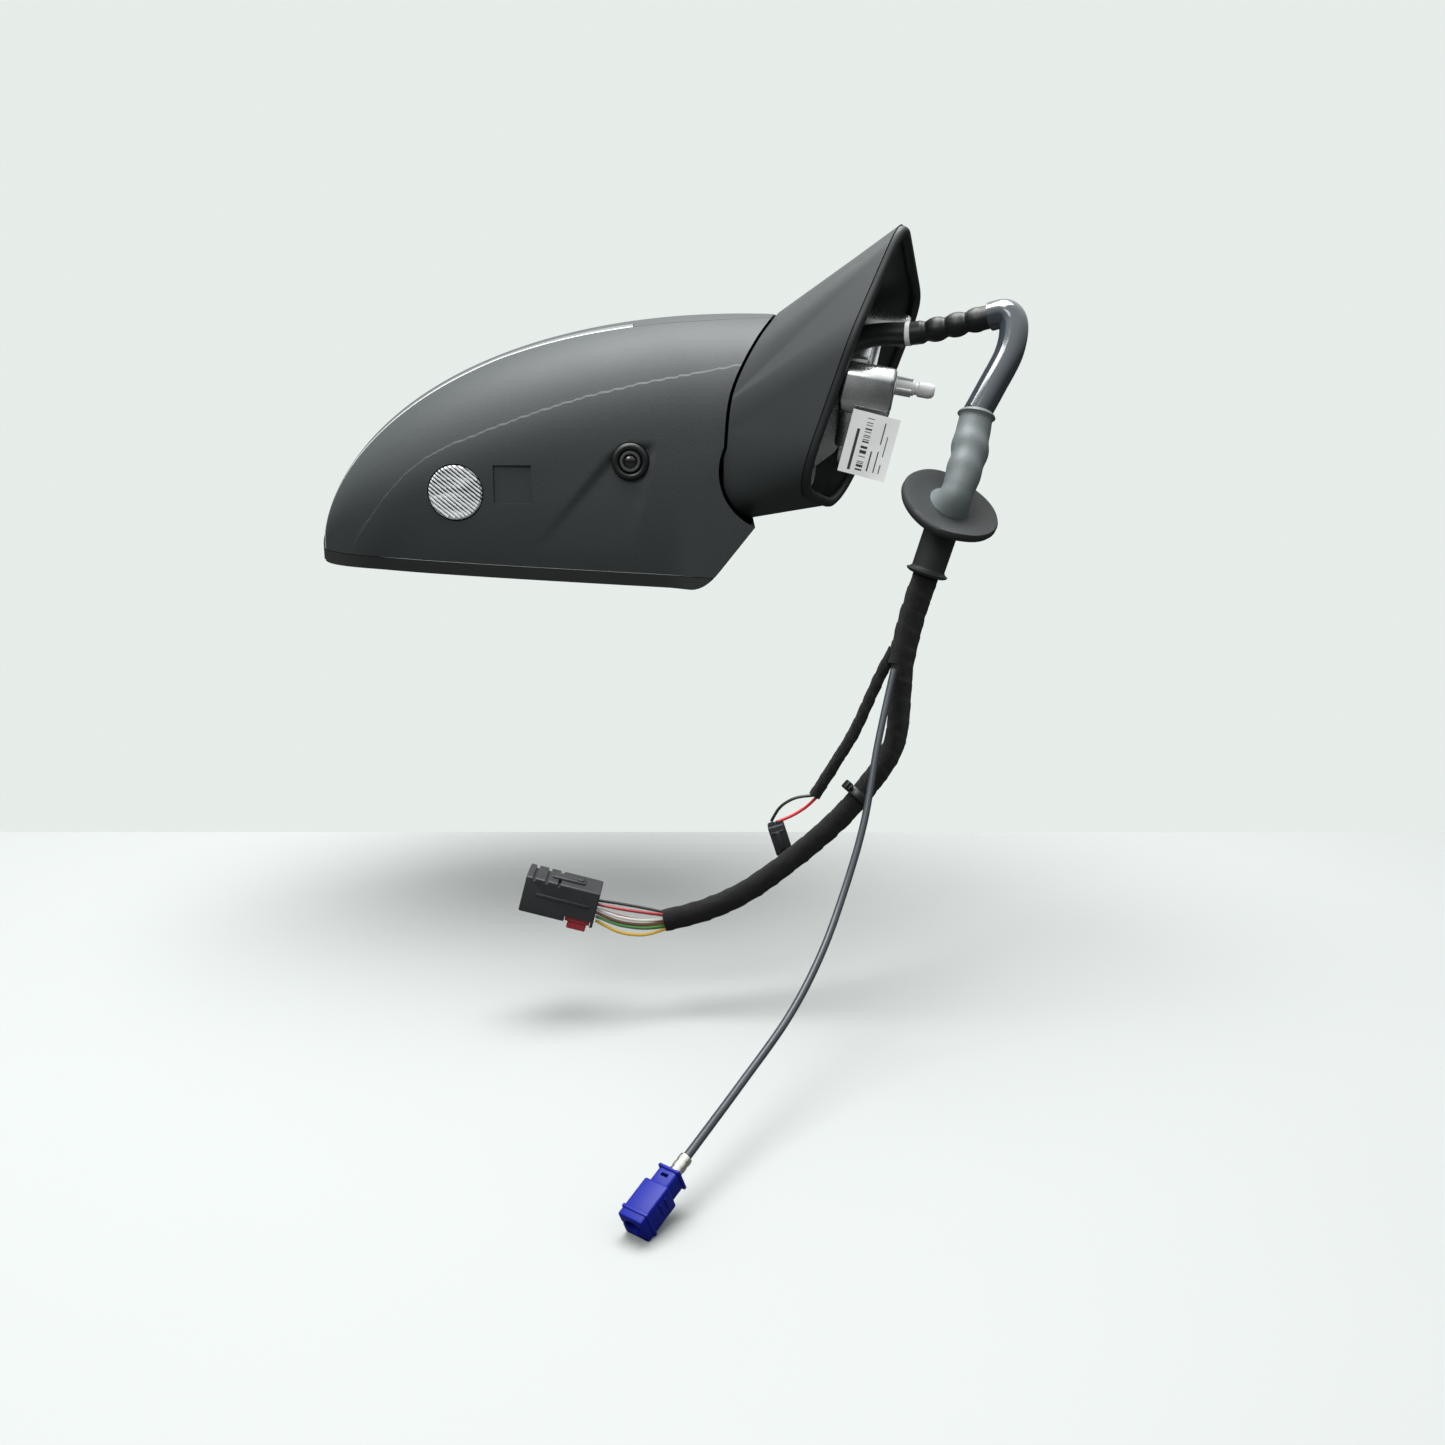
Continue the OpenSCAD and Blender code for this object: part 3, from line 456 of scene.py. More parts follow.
# ---- Materials ----
def surface_group():
    """Fine grain, soft blotches and faint scratches, for every surface of the object."""
    t, given, result = new_tree("ShaderNodeTree", "surface_detail", [
        ("Vector", "Vector", None), ("Grain Scale", "Float", 1500.0), ("Blotch Scale", "Float", 40.0),
        ("Color", "Color", (0.1, 0.1, 0.1, 1)), ("Tint", "Color", (0.12, 0.12, 0.12, 1)),
        ("Roughness", "Float", 0.5), ("Spread", "Float", 0.1), ("Scratch", "Float", 0.0)],
        [("Color", "Color"), ("Roughness", "Float"), ("Height", "Float")])

    def pattern(vector, scale, detail):
        return node(t, "ShaderNodeTexNoise", {"Vector": vector, "Scale": scale, "Detail": detail}).outputs["Fac"]

    grain = pattern(given["Vector"], given["Grain Scale"], 3.0)
    blotch = pattern(given["Vector"], given["Blotch Scale"], 4.0)
    stretch = node(t, "ShaderNodeMapping", {"Vector": given["Vector"], "Scale": (30.0, 900.0, 120.0),
                                            "Rotation": (0.3, 0.5, 0.7)})
    scratches = pattern(stretch.outputs["Vector"], 1.0, 2.0)
    # Roughness varies by the spread, half a blotch and a grain about their mean
    mean = 0.75
    uneven = node_math(t, "SUBTRACT", node_math(t, "MULTIPLY_ADD", grain, 0.5, blotch), mean)
    for key, value in (("Color", mix_colors(t, blotch, given["Color"], given["Tint"])),
                       ("Roughness", node_math(t, "MULTIPLY_ADD", uneven, given["Spread"], given["Roughness"])),
                       ("Height", node_math(t, "MULTIPLY_ADD", scratches, given["Scratch"], grain))):
        t.links.new(value, result[key])
    return t


DETAIL = surface_group()


def srgb(r, g, b):
    def linear(c):
        return c / 12.92 if c <= 0.04045 else ((c + 0.055) / 1.055) ** 2.4
    return (linear(r / 255), linear(g / 255), linear(b / 255), 1.0)


COAT_ROUGHNESS, SHEEN_ROUGHNESS = 0.12, 0.5


def stuff(name, color, tint=None, rough=0.5, spread=0.1, grain=1500.0, blotch=40.0, bump=0.1, depth=0.0003,
          metal=0.0, coat=0.0, scratch=0.0, sheen=0.0, specular=0.5):
    mat = bpy.data.materials.new(name)
    mat.use_nodes = True
    t = mat.node_tree
    shader = t.nodes["Principled BSDF"]
    tint = tint or tuple(min(1.0, c * 1.25 + 0.002) for c in color[:3]) + (1.0,)
    detail = t.nodes.new("ShaderNodeGroup")
    detail.node_tree = DETAIL
    detail.name = "detail"
    t.links.new(t.nodes.new("ShaderNodeTexCoord").outputs["Object"], detail.inputs["Vector"])
    for key, value in (("Grain Scale", grain), ("Blotch Scale", blotch), ("Color", color), ("Tint", tint),
                       ("Roughness", rough), ("Spread", spread), ("Scratch", scratch)):
        detail.inputs[key].default_value = value
    relief = node(t, "ShaderNodeBump", {"Strength": bump, "Distance": depth, "Height": detail.outputs["Height"]})
    for value, key in ((detail.outputs["Color"], "Base Color"), (detail.outputs["Roughness"], "Roughness"),
                       (relief.outputs["Normal"], "Normal")):
        t.links.new(value, shader.inputs[key])
    for key, value in (("Metallic", metal), ("Coat Weight", coat), ("Coat Roughness", COAT_ROUGHNESS),
                       ("Sheen Weight", sheen), ("Sheen Roughness", SHEEN_ROUGHNESS), ("Specular IOR Level", specular)):
        shader.inputs[key].default_value = value
    return mat


MATS = {}


def finish(name, *values, **more):
    MATS[name] = stuff(name, *values, **more)
    return MATS[name]


# Each row: name, colour, second colour, roughness and its spread, grain and blotch scale, bump and its depth
finish("cast_metal", (0.50, 0.51, 0.52, 1), (0.80, 0.81, 0.82, 1), 0.27, 0.16, 1500, 60, 0.10, 0.0002, metal=1.0,
       scratch=0.25)
finish("foot_plastic", srgb(50, 55, 55), srgb(55, 60, 60), 0.46, 0.06, 2600, 30, 0.10, 0.0002)
finish("gasket_rubber", srgb(26, 29, 31), srgb(34, 38, 40), 0.5, 0.15, 1500, 90, 0.1, 0.0002)
finish("screw_steel", (0.5, 0.51, 0.53, 1), None, 0.32, 0.2, 1800, 200, 0.1, 0.0001, metal=1.0)
finish("white_plastic", (0.74, 0.76, 0.76, 1), (0.82, 0.83, 0.83, 1), 0.42, 0.1, 1800, 90, 0.1, 0.0002)
finish("post_steel", (0.6, 0.61, 0.63, 1), None, 0.28, 0.15, 2500, 90, 0.1, 0.0001, metal=1.0, scratch=0.5)
finish("spring_steel", (0.35, 0.36, 0.38, 1), None, 0.35, 0.2, 1500, 120, 0.1, 0.0001, metal=1.0)
finish("gear_plastic", (0.72, 0.68, 0.58, 1), None, 0.45, 0.1, 1500, 80, 0.1, 0.0002)
finish("frame_plastic", (0.035, 0.036, 0.038, 1), None, 0.55, 0.12, 900, 60, 0.3, 0.0003)
finish("shell_plastic", srgb(46, 51, 52), srgb(50, 56, 57), 0.56, 0.08, 1900, 22, 0.38, 0.0004)
finish("cap_plastic", srgb(48, 53, 54), srgb(52, 57, 58), 0.48, 0.08, 2400, 25, 0.14, 0.0003)
finish("bezel_plastic", srgb(36, 39, 39), srgb(42, 45, 45), 0.54, 0.1, 1900, 30, 0.34, 0.0004)
finish("guide_clear", (0.85, 0.87, 0.86, 1), None, 0.2, 0.1, 1500, 120, 0.1, 0.0002, coat=0.6)
finish("circuit_board", (0.03, 0.15, 0.07, 1), None, 0.35, 0.1, 2500, 300, 0.1, 0.0001)
finish("lamp_black", (0.02, 0.021, 0.023, 1), None, 0.42, 0.1, 1500, 60, 0.15, 0.0002)
finish("camera_black", (0.009, 0.0095, 0.010, 1), None, 0.34, 0.1, 2200, 90, 0.12, 0.0002)
finish("camera_glass", (0.004, 0.005, 0.012, 1), (0.012, 0.008, 0.004, 1), 0.05, 0.02, 2000, 300, 0.0, 0.0001,
       coat=1.0)
finish("barrel_grey", (0.09, 0.092, 0.095, 1), None, 0.3, 0.08, 2000, 150, 0.1, 0.0001, metal=0.4)
finish("motor_steel", (0.55, 0.56, 0.57, 1), None, 0.3, 0.2, 1500, 120, 0.1, 0.0001, metal=1.0)
finish("bronze", (0.55, 0.36, 0.16, 1), None, 0.4, 0.2, 2500, 200, 0.3, 0.0001, metal=1.0)
finish("mirror_silver", (0.82, 0.85, 0.88, 1), (0.8, 0.84, 0.87, 1), 0.03, 0.015, 900, 12, 0.0, 0.00005,
       metal=1.0)
finish("heater_film", (0.42, 0.22, 0.08, 1), None, 0.4, 0.1, 1200, 80, 0.2, 0.0001)
finish("tube_rubber", srgb(10, 11, 13), srgb(17, 18, 21), 0.46, 0.12, 1600, 90, 0.1, 0.0002)
finish("tube_vinyl", srgb(40, 46, 52), srgb(64, 71, 78), 0.13, 0.06, 1800, 60, 0.05, 0.0002, coat=1.0)
finish("grommet_rubber", srgb(20, 23, 24), srgb(40, 44, 45), 0.62, 0.2, 900, 70, 0.3, 0.0004)
# Painted light: a lighter copy of the grommet rubber for the upper sleeve, which is lit from above
finish("lit_sleeve_rubber", srgb(84, 91, 92), srgb(112, 120, 121), 0.52, 0.2, 900, 60, 0.25, 0.0004)
finish("fleece_tape", srgb(11, 11, 12), srgb(21, 21, 22), 0.95, 0.1, 2600, 240, 1.0, 0.0012, sheen=0.12,
       specular=0.12)
finish("tie_plastic", srgb(22, 23, 24), None, 0.35, 0.1, 1500, 90, 0.1, 0.0002)
finish("plug_black", srgb(42, 43, 45), srgb(50, 51, 54), 0.42, 0.1, 1900, 90, 0.2, 0.0002)
finish("lock_red", srgb(168, 52, 58), srgb(178, 60, 66), 0.4, 0.1, 1900, 90, 0.15, 0.0002)
finish("coax_black", srgb(40, 46, 52), srgb(56, 62, 68), 0.36, 0.12, 1600, 50, 0.08, 0.0002)
finish("ferrule_nickel", (0.66, 0.65, 0.58, 1), (0.78, 0.77, 0.7, 1), 0.25, 0.15, 1800, 200, 0.15, 0.0002,
       metal=1.0, scratch=0.4)
finish("plug_blue", srgb(2, 18, 122), srgb(4, 24, 134), 0.42, 0.1, 1900, 90, 0.15, 0.0002, specular=0.25)
finish("lock_purple", srgb(170, 70, 168), srgb(176, 78, 174), 0.36, 0.1, 1900, 90, 0.1, 0.0002)
finish("paint_white", (0.8, 0.82, 0.82, 1), None, 0.5, 0.1, 1500, 300, 0.4, 0.0003)
WIRE_COLORS = {"yellow": (214, 170, 52), "green": (78, 138, 76), "brown": (112, 74, 56), "white": (216, 214, 208),
               "red": (150, 48, 50), "dark": (40, 40, 42), "bright_red": (206, 40, 48)}
WIRES = {name: stuff("wire_" + name, srgb(*color), None, 0.35, 0.1, 1800, 200, 0.05, 0.0001)
         for name, color in WIRE_COLORS.items()}
MATS["wire_vinyl"] = WIRES["yellow"]


def label_material():
    """Plain bars and blocks on white paper, set out on the sticker's own UV."""
    t = finish("label_paper", (0.72, 0.73, 0.72, 1), None, 0.5, 0.1, 2000, 60, 0.1, 0.0001).node_tree
    sheet = split_xyz(t, node(t, "ShaderNodeUVMap", uv_map="sheet").outputs["UV"])

    def between(v, a, b):
        return node_math(t, "MULTIPLY", node_math(t, "GREATER_THAN", v, a), node_math(t, "LESS_THAN", v, b))

    def lines(count, cut, seed):
        cell = node_math(t, "FLOOR", node_math(t, "MULTIPLY", sheet["Y"], count))
        chance = node(t, "ShaderNodeTexWhiteNoise", noise_dimensions="1D")
        t.links.new(node_math(t, "ADD", cell, seed), chance.inputs["W"])
        return node_math(t, "GREATER_THAN", chance.outputs["Value"], cut)

    ink = None
    # Each block: across from and to, along from and to, how many bars, share left blank, seed
    for a, b, lo, hi, count, cut, seed in [(0.34, 0.48, 0.08, 0.92, 74.0, 0.45, 3.0),
                                           (0.18, 0.24, 0.06, 0.72, 7.0, 0.1, 11.0),
                                           (0.57, 0.60, 0.1, 0.42, 9.0, 0.2, 5.0),
                                           (0.71, 0.735, 0.1, 0.9, 9.0, 0.25, 8.0),
                                           (0.82, 0.84, 0.1, 0.7, 8.0, 0.3, 2.0)]:
        area = node_math(t, "MULTIPLY", between(sheet["X"], a, b), between(sheet["Y"], lo, hi))
        part = node_math(t, "MULTIPLY", area, lines(count, cut, seed))
        ink = node_math(t, "MAXIMUM", ink, part) if ink else part
    paper = t.nodes["detail"].outputs["Color"]
    t.links.new(mix_colors(t, ink, paper, (0.03, 0.03, 0.035, 1)), t.nodes["Principled BSDF"].inputs["Base Color"])


def strip_material():
    """Smoked strip that is clear and pale at the tip of the head; the pale tip is a painted highlight on the strip's
    edge.
    """
    t = finish("signal_clear", srgb(120, 126, 130), srgb(84, 90, 94), 0.12, 0.06, 700, 300, 0.2, 0.0003,
               coat=1.0).node_tree
    along = split_xyz(t, t.nodes["Texture Coordinate"].outputs["Object"])["X"]
    # Painted highlight: the colour turns pale towards the tip of the head, along X
    tip_highlight_mask = node(t, "ShaderNodeMapRange", {"Value": along, "From Min": -0.289, "From Max": -0.279})
    tone = mix_colors(t, tip_highlight_mask.outputs["Result"], (0.72, 0.75, 0.76, 1), t.nodes["detail"].outputs["Color"])
    t.links.new(tone, t.nodes["Principled BSDF"].inputs["Base Color"])


LAMP, LAMP_R = (-229.0, -49.0), 14.0
CAMERA, CAMERA_R = (-138.0, -33.0), 9.5
LENS_TURN, LENS_COUNT, LENS_RADIUS = math.radians(50), 15, 13.1


def lamp_material():
    """Ribbed clear lens over a bright reflector: each rib is painted pale, with a painted dark line of shade at its
    edges.
    """
    t = finish("lamp_clear", (0.55, 0.57, 0.59, 1), None, 0.1, 0.04, 1500, 120, 0.0, 0.0001, coat=1.0).node_tree
    where = t.nodes["Texture Coordinate"].outputs["Object"]
    pitch = 2 * LENS_RADIUS / LENS_COUNT * MM
    c, s = math.cos(LENS_TURN), math.sin(LENS_TURN)
    across = node(t, "ShaderNodeVectorMath", {0: where, 1: (c / pitch, 0.0, s / pitch)}, operation="DOT_PRODUCT")
    start = (LAMP[0] * c + LAMP[1] * s) * MM / pitch
    wave = node_math(t, "COSINE", node_math(t, "MULTIPLY", node_math(t, "SUBTRACT", across.outputs["Value"], start),
                                            2 * math.pi))
    stretch = node(t, "ShaderNodeMapping", {"Vector": where, "Rotation": (0.0, math.radians(-40), 0.0),
                                            "Scale": (60.0, 60.0, 420.0)})
    streak = node(t, "ShaderNodeTexNoise", {"Vector": stretch.outputs["Vector"], "Scale": 1.0})
    # Painted light: pale bands stand for the lit reflector seen through the ribs, painted shade darkens the rib edges,
    # and long streaks break them up
    painted_rib_light = node_math(t, "MULTIPLY_ADD", wave, 0.26, streak.outputs["Fac"])
    tone = color_ramp(t, painted_rib_light, (0.30, (0.03, 0.034, 0.042, 1)), (0.46, (0.84, 0.86, 0.88, 1)))
    t.links.new(tone, t.nodes["Principled BSDF"].inputs["Base Color"])


label_material()
strip_material()
lamp_material()


def place_piece(ob, mat, body, replaces=(), angle=35.0):
    """Scales a piece to metres, smooths it, gives it its finish and lets it ride on its body."""
    me = ob.data
    me.transform(Matrix.Scale(MM, 4))
    me.update()
    me.shade_smooth()
    me.set_sharp_from_angle(angle=math.radians(angle))
    if mat:
        me.materials.clear()
        me.materials.append(MATS[mat])
    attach(ob, body)
    if replaces:
        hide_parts(*replaces)
    return ob


# ---- Harness ----
STEP = 0.7
RIBBED = [(-62, 14, -38.5), (-62, 3, -36), (-57, -10, -17), (-45, -13, 8), (-20, -12, 28), (10, -20, 31),
          (42, -34, 38)]
SMOOTH = [(42, -34, 38), (49, -38, 39), (52, -42, 33), (49, -48, 20), (40, -54, 4), (33, -58, -8)]
TRUNK = [(9, -72, -85), (2, -77, -105), (-4, -84, -128)]
THIN = [(-6.5, -81, -120), (-14, -84, -134), (-26, -93, -158), (-35, -98, -172), (-46, -102, -189)]
THICK = [(-3, -84.5, -124), (-4, -89, -143), (-7, -95, -164), (-17, -100, -180), (-38, -106, -203),
         (-72, -113, -229), (-96, -116, -241), (-119, -118, -247)]
COAX = [(-8, -93, -128), (-17, -112, -160), (-25, -134, -192), (-36, -156, -219), (-48, -182, -238),
        (-63, -210, -253), (-84, -246, -265), (-104, -284, -273)]


def metres(points):
    return [tuple(c * MM for c in p) for p in points]


ribbed_line = even(route(RIBBED, 10), 0.5)
ribbed_total = measure(ribbed_line)
# Rings on the free end only; the tube is plain where it passes through the foot
RING_HEIGHT, RING_PITCH, RINGS_FROM, RINGS_TO = 0.6, 10.4, ribbed_total - 37.0, ribbed_total - 4.0
ribbed = place_piece(swept("ribbed_hose", ribbed_line, 5.8, 32, MATS["tube_rubber"],
                           (RING_HEIGHT, RING_PITCH, RINGS_FROM, RINGS_TO)),
                     None, "foot", ["ribbed_tube"], 60)
# Paint mark round the ribbed tube
mark_line = [p for p in ribbed_line if -4.0 < p.x - 6.5 < 3.0][:6]
mark = place_piece(tube("paint_mark", mark_line, lambda run, a: 6.0 + 0.12 * math.sin(5 * a), 40), "paint_white",
                   "foot")
smooth = place_piece(swept("smooth_hose", even(route(SMOOTH, 10), 1.0), 7.0, 40, MATS["tube_vinyl"]),
                     None, "foot", ["smooth_tube"], 60)


def grommet():
    top, mid, end = Vector((33, -58, -8)), Vector((19, -72, -52)), Vector((9, -72, -85))
    axis = Vector((-0.32, 0.5, -0.8)).normalized()
    # Upper sleeve: collar, creased waist, wide shoulder that bends into the disc
    way = [top, (30.5, -62, -18), (27, -69.5, -31), mid - axis * 8, mid + axis * 1.5]
    line = even(route(way, 10), 0.8)
    total = measure(line)

    def sleeve(run, a):
        s = run / total
        collar = 1.5 * math.exp(-((run - 1.4) / 1.1) ** 2)
        body = 7.7 + 1.1 * math.sin(min(1.0, s * 1.25) * math.pi) + 2.2 * max(0.0, s - 0.78) / 0.22
        fold = 0.55 * math.sin(run * 0.42 + 1.3 * math.cos(a)) * math.exp(-((s - 0.42) / 0.2) ** 2)
        flare = 3.2 * max(0.0, (s - 0.84) / 0.16) ** 2
        return body + collar + fold + flare

    upper = tube("sleeve", line, sleeve, 48)
    # Thin dished disc with a thick rim
    r = 25.0
    disc = revolve("disc", [(0.4, -1.6), (12.0, -1.5), (18.0, -1.9), (22.5, -2.6), (24.3, -2.5), (r, -1.5),
                            (r + 0.1, 0.4), (24.4, 1.7), (22.8, 2.1), (19.0, 1.4), (12.0, 1.4), (0.4, 1.4)],
                   mid, axis, 96)
    for v in disc.data.vertices:
        q = v.co - mid
        flat = q - axis * q.dot(axis)
        ang = math.atan2(flat.z, flat.x)
        v.co += axis * (0.9 * math.sin(2 * ang + 0.6) * (flat.length / r) ** 2)
    # Lower sleeve with its collar
    low = even([mid + axis * 0.5, mid.lerp(end, 0.35), end], 0.8)
    length = measure(low)

    def lower_radius(run, a):
        flare = 2.4 * math.exp(-((run - length + 1.3) / 1.0) ** 2)
        return 8.4 - 0.2 * run / length + flare + 1.6 * math.exp(-(run / 4.0) ** 2)

    lower = tube("lower", low, lower_radius, 48)
    # Pull tab at the side of the lower sleeve
    tab = prism("tab", [(-6, -2), (-13, -10), (-15, -14), (-10.5, -15.5), (-8, -12), (-6.5, -10)], -1.1, 1.1,
                Matrix.Translation(mid) @ basis((0, 1, 0), (0, 0, 1)).to_4x4(), 0.4)
    parts = [upper, disc, lower, tab]
    for ob in parts:
        # The upper sleeve takes the lighter, painted-light copy of the grommet rubber
        ob.data.materials.append(MATS["lit_sleeve_rubber" if ob is upper else "grommet_rubber"])
    return join("grommet_body", parts)


grommet_piece = place_piece(grommet(), None, "foot", ["grommet"], 50)


def taped(seed, base, pitch):
    """Radius of a branch wound with fleece tape: overlapping turns, soft and uneven."""
    def radius(run, a):
        turn = (run / pitch + a / (2 * math.pi)) % 1.0
        lap = 0.32 * (1.0 - turn) if turn > 0.08 else 0.32 * turn / 0.08
        soft = 0.30 * noise.noise(Vector((run * 0.22, 1.6 * math.cos(a), 1.6 * math.sin(a) + seed)))
        fine = 0.12 * noise.noise(Vector((run * 1.3, 5 * math.cos(a), 5 * math.sin(a) + seed)))
        return base - 0.2 + lap + soft + fine
    return radius


def taped_piece(name, way, radius, sides, node_name):
    return place_piece(tube(name, even(route(way, 10), STEP), radius, sides), "fleece_tape", "foot",
                       [node_name], 70)


trunk = taped_piece("trunk_tape", TRUNK, taped(1, 6.4, 9.0), 40, "trunk")
thin = taped_piece("thin_tape", THIN, taped(5, 2.95, 8.0), 28, "thin_branch")
thick = taped_piece("thick_tape", THICK, taped(9, 5.4, 9.0), 40, "thick_branch")
coax_line = even(route(COAX, 12), 1.5)
coax = place_piece(swept("coax_jacket", coax_line, 1.7, 24, MATS["coax_black"]), None, "foot",
                   ["coax_cable"], 60)


def tie():
    a, b = Vector(THICK[3]), Vector(THICK[4])
    d = (b - a).normalized()
    p = a.lerp(b, 0.3)
    band = revolve("band", [(5.9, 0), (6.9, 0.1), (7.05, 0.5), (7.05, 3.5), (6.9, 3.9), (5.9, 4.0)], p, d, 48, True)
    m = Matrix.Translation(p) @ basis(d).to_4x4()
    up = m.to_3x3().inverted() @ Vector((-0.5, -0.2, 0.84))
    turn = Matrix.Rotation(math.atan2(up.y, up.x) - math.pi / 2, 4, "Z")
    head = box("head", (-2, 6.6, -0.2), (2, 9.8, 4.2), m @ turn, 0.6)
    tail = box("tail", (1.6, 7.4, 0.5), (3.6, 8.4, 3.5), m @ turn, 0.3)
    return join("tie_loop", [band, head, tail])


tie_piece = place_piece(tie(), "tie_plastic", "foot", ["cable_tie"])


def wires(name, rows, radius, node_name):
    """Each row is a wire: its start, its end, how far its middle sags, and its colour."""
    obs = []
    for a, b, sag, color in rows:
        sag = Vector(sag)
        mid = a.lerp(b, 0.5) + sag
        q1, q2 = a.lerp(mid, 0.55) + sag * 0.25, b.lerp(mid, 0.55) + sag * 0.25
        obs.append(swept("wire", even(route([a, q1, mid, q2, b], 8), 0.8), radius, 12, WIRES[color]))
    return place_piece(join(name, obs), None, "foot", [node_name])


lead_start, lead_end = Vector((-46, -102, -189)), Vector((-65, -99, -203))
lead_piece = wires("lead_pair", [
    (lead_start + Vector((1, -0.6, 0.8)), lead_end + Vector((-1.6, 0, 0.5)), (-3.0, -0.6, 3.6), "dark"),
    (lead_start + Vector((1, 0.6, -0.8)), lead_end + Vector((1.6, 0, 0.2)), (1.4, 0.6, -1.0), "bright_red")],
    0.75, "lead_wires")

tail_end, wire_end = Vector((-119, -118, -247)), Vector((-151, -121, -239))
rows = []
for k, color in enumerate(["yellow", "green", "brown", "white", "red", "green", "yellow", "red", "white", "dark"]):
    row, col = k % 5 - 2, k // 5 - 0.5
    rows.append((tail_end + Vector((2.0, col * 2.6, row * 1.7)),
                 wire_end + Vector((-0.6, col * 5 - 1.0, row * 2.1 - 1.0)),
                 (0.5 * math.sin(k * 2.1), col * 3.0 - 1.0, row * 1.0 - 2.2 + 1.0 * math.sin(k * 1.7)), color))
wires_piece = wires("wire_bundle", rows, 0.72, "plug_wires")


def turned(origin, degrees):
    return Matrix.Translation(origin) @ Matrix.Rotation(math.radians(degrees), 4, "Y")


def boxes(m, rows):
    """Each row is a box: name, near corner, far corner, bevel."""
    return [box(name, lo, hi, m, bevel) for name, lo, hi, bevel in rows]


def lead_plug():
    m = turned(lead_end, -18)
    obs = boxes(m, [("body", (-4, -4, -16), (4, 4, -1.0), 0.5)])
    for x in (-2, 2):
        obs.append(revolve("collar", [(0.9, -1.5), (1.7, -1.5), (1.7, 0.0), (0.9, 0.0)], m @ Vector((x, 0, 0)),
                           m.to_3x3() @ Vector((0, 0, 1)), 20, True))
    obs += boxes(m, [("rib", (-1.2, -4.9, -13), (1.2, -3.8, -4), 0.3),
                     ("latch", (-3.4, -4.5, -4.6), (3.4, -3.9, -3.6), 0.2)])
    return join("two_way_plug", obs)


lead_plug_piece = place_piece(lead_plug(), "plug_black", "foot", ["lead_plug"])
PLUG_TURN = 15


def main_plug():
    m = turned(wire_end, PLUG_TURN)
    body = box("body", (-36, -9, -7.5), (0, 9, 10.5), m, 0.7)
    boolean(body, box("slot", (-14, -11, -8.7), (-1.4, 11, -4.5), m))
    boolean(body, box("mouth", (-3.4, -7.6, -3.5), (1, 7.6, 8.8), m))
    for x in (-33, -27, -21):
        boolean(body, box("groove", (x, -10, 8.8), (x + 1.6, 10, 11), m))
    obs = [body] + boxes(m, [("rail", (-30, -9.6, 2.0), (-4, -8.7, 3.4), 0.2),
                             ("rail", (-30, 8.7, 2.0), (-4, 9.6, 3.4), 0.2),
                             ("latch", (-24, -3.2, 10.0), (-8, 3.2, 11.6), 0.5),
                             ("catch", (-12, -2.2, 11.0), (-9, 2.2, 12.4), 0.4),
                             ("stop", (-20, -5, -8.9), (-15.5, 5, -7.2), 0.3)])
    for z in (-1.1, 4.9):
        obs.append(bar_row("seals", 5, (-2.9, -5.7, z), (0, 2.7, 0), (1.4, 1.8, 3.0), m))
    return join("multi_way_plug", obs)


main_plug_piece = place_piece(main_plug(), "plug_black", "foot", ["main_plug"])


def plug_lock():
    m = turned(wire_end, PLUG_TURN)
    obs = boxes(m, [("plate", (-13.7, -7, -7.5), (-1.7, 7, -4.8), 0.4),
                    ("thumb", (-12.2, -6, -11.5), (-3.0, 6, -7.2), 0.6)])
    obs.append(bar_row("grips", 4, (-11.05, -6.15, -9.5), (2.3, 0, 0), (0.9, 0.7, 3.0), m))
    return join("red_slide", obs)


lock_piece = place_piece(plug_lock(), "lock_red", "red_lock", ["plug_lock"])

coax_end = Vector((-104, -284, -273))
coax_dir = Vector((-0.56, -0.72, -0.41)).normalized()


def in_coax(d):
    """A place on the coaxial plug's axis, turned as the solids are: by a tilt, then a turn."""
    tilt = math.acos(coax_dir.z)
    turn = math.atan2(coax_dir.y, coax_dir.x)
    return (Matrix.Translation(coax_end) @ Matrix.Rotation(turn, 4, "Z") @ Matrix.Rotation(tilt, 4, "Y")
            @ Matrix.Translation((0, 0, d)))


CRIMPED = [(1.75, 0.0), (2.45, 0.1), (2.6, 0.5), (2.6, 2.2), (2.42, 2.6), (2.42, 3.2), (2.6, 3.6), (2.6, 5.2),
           (2.42, 5.6), (2.42, 6.2), (2.6, 6.6), (2.6, 8.6), (1.75, 8.6)]
ferrule_piece = place_piece(revolve("crimp_ferrule", CRIMPED, coax_end, coax_dir, 40, True), "ferrule_nickel",
                            "foot", ["coax_ferrule"])


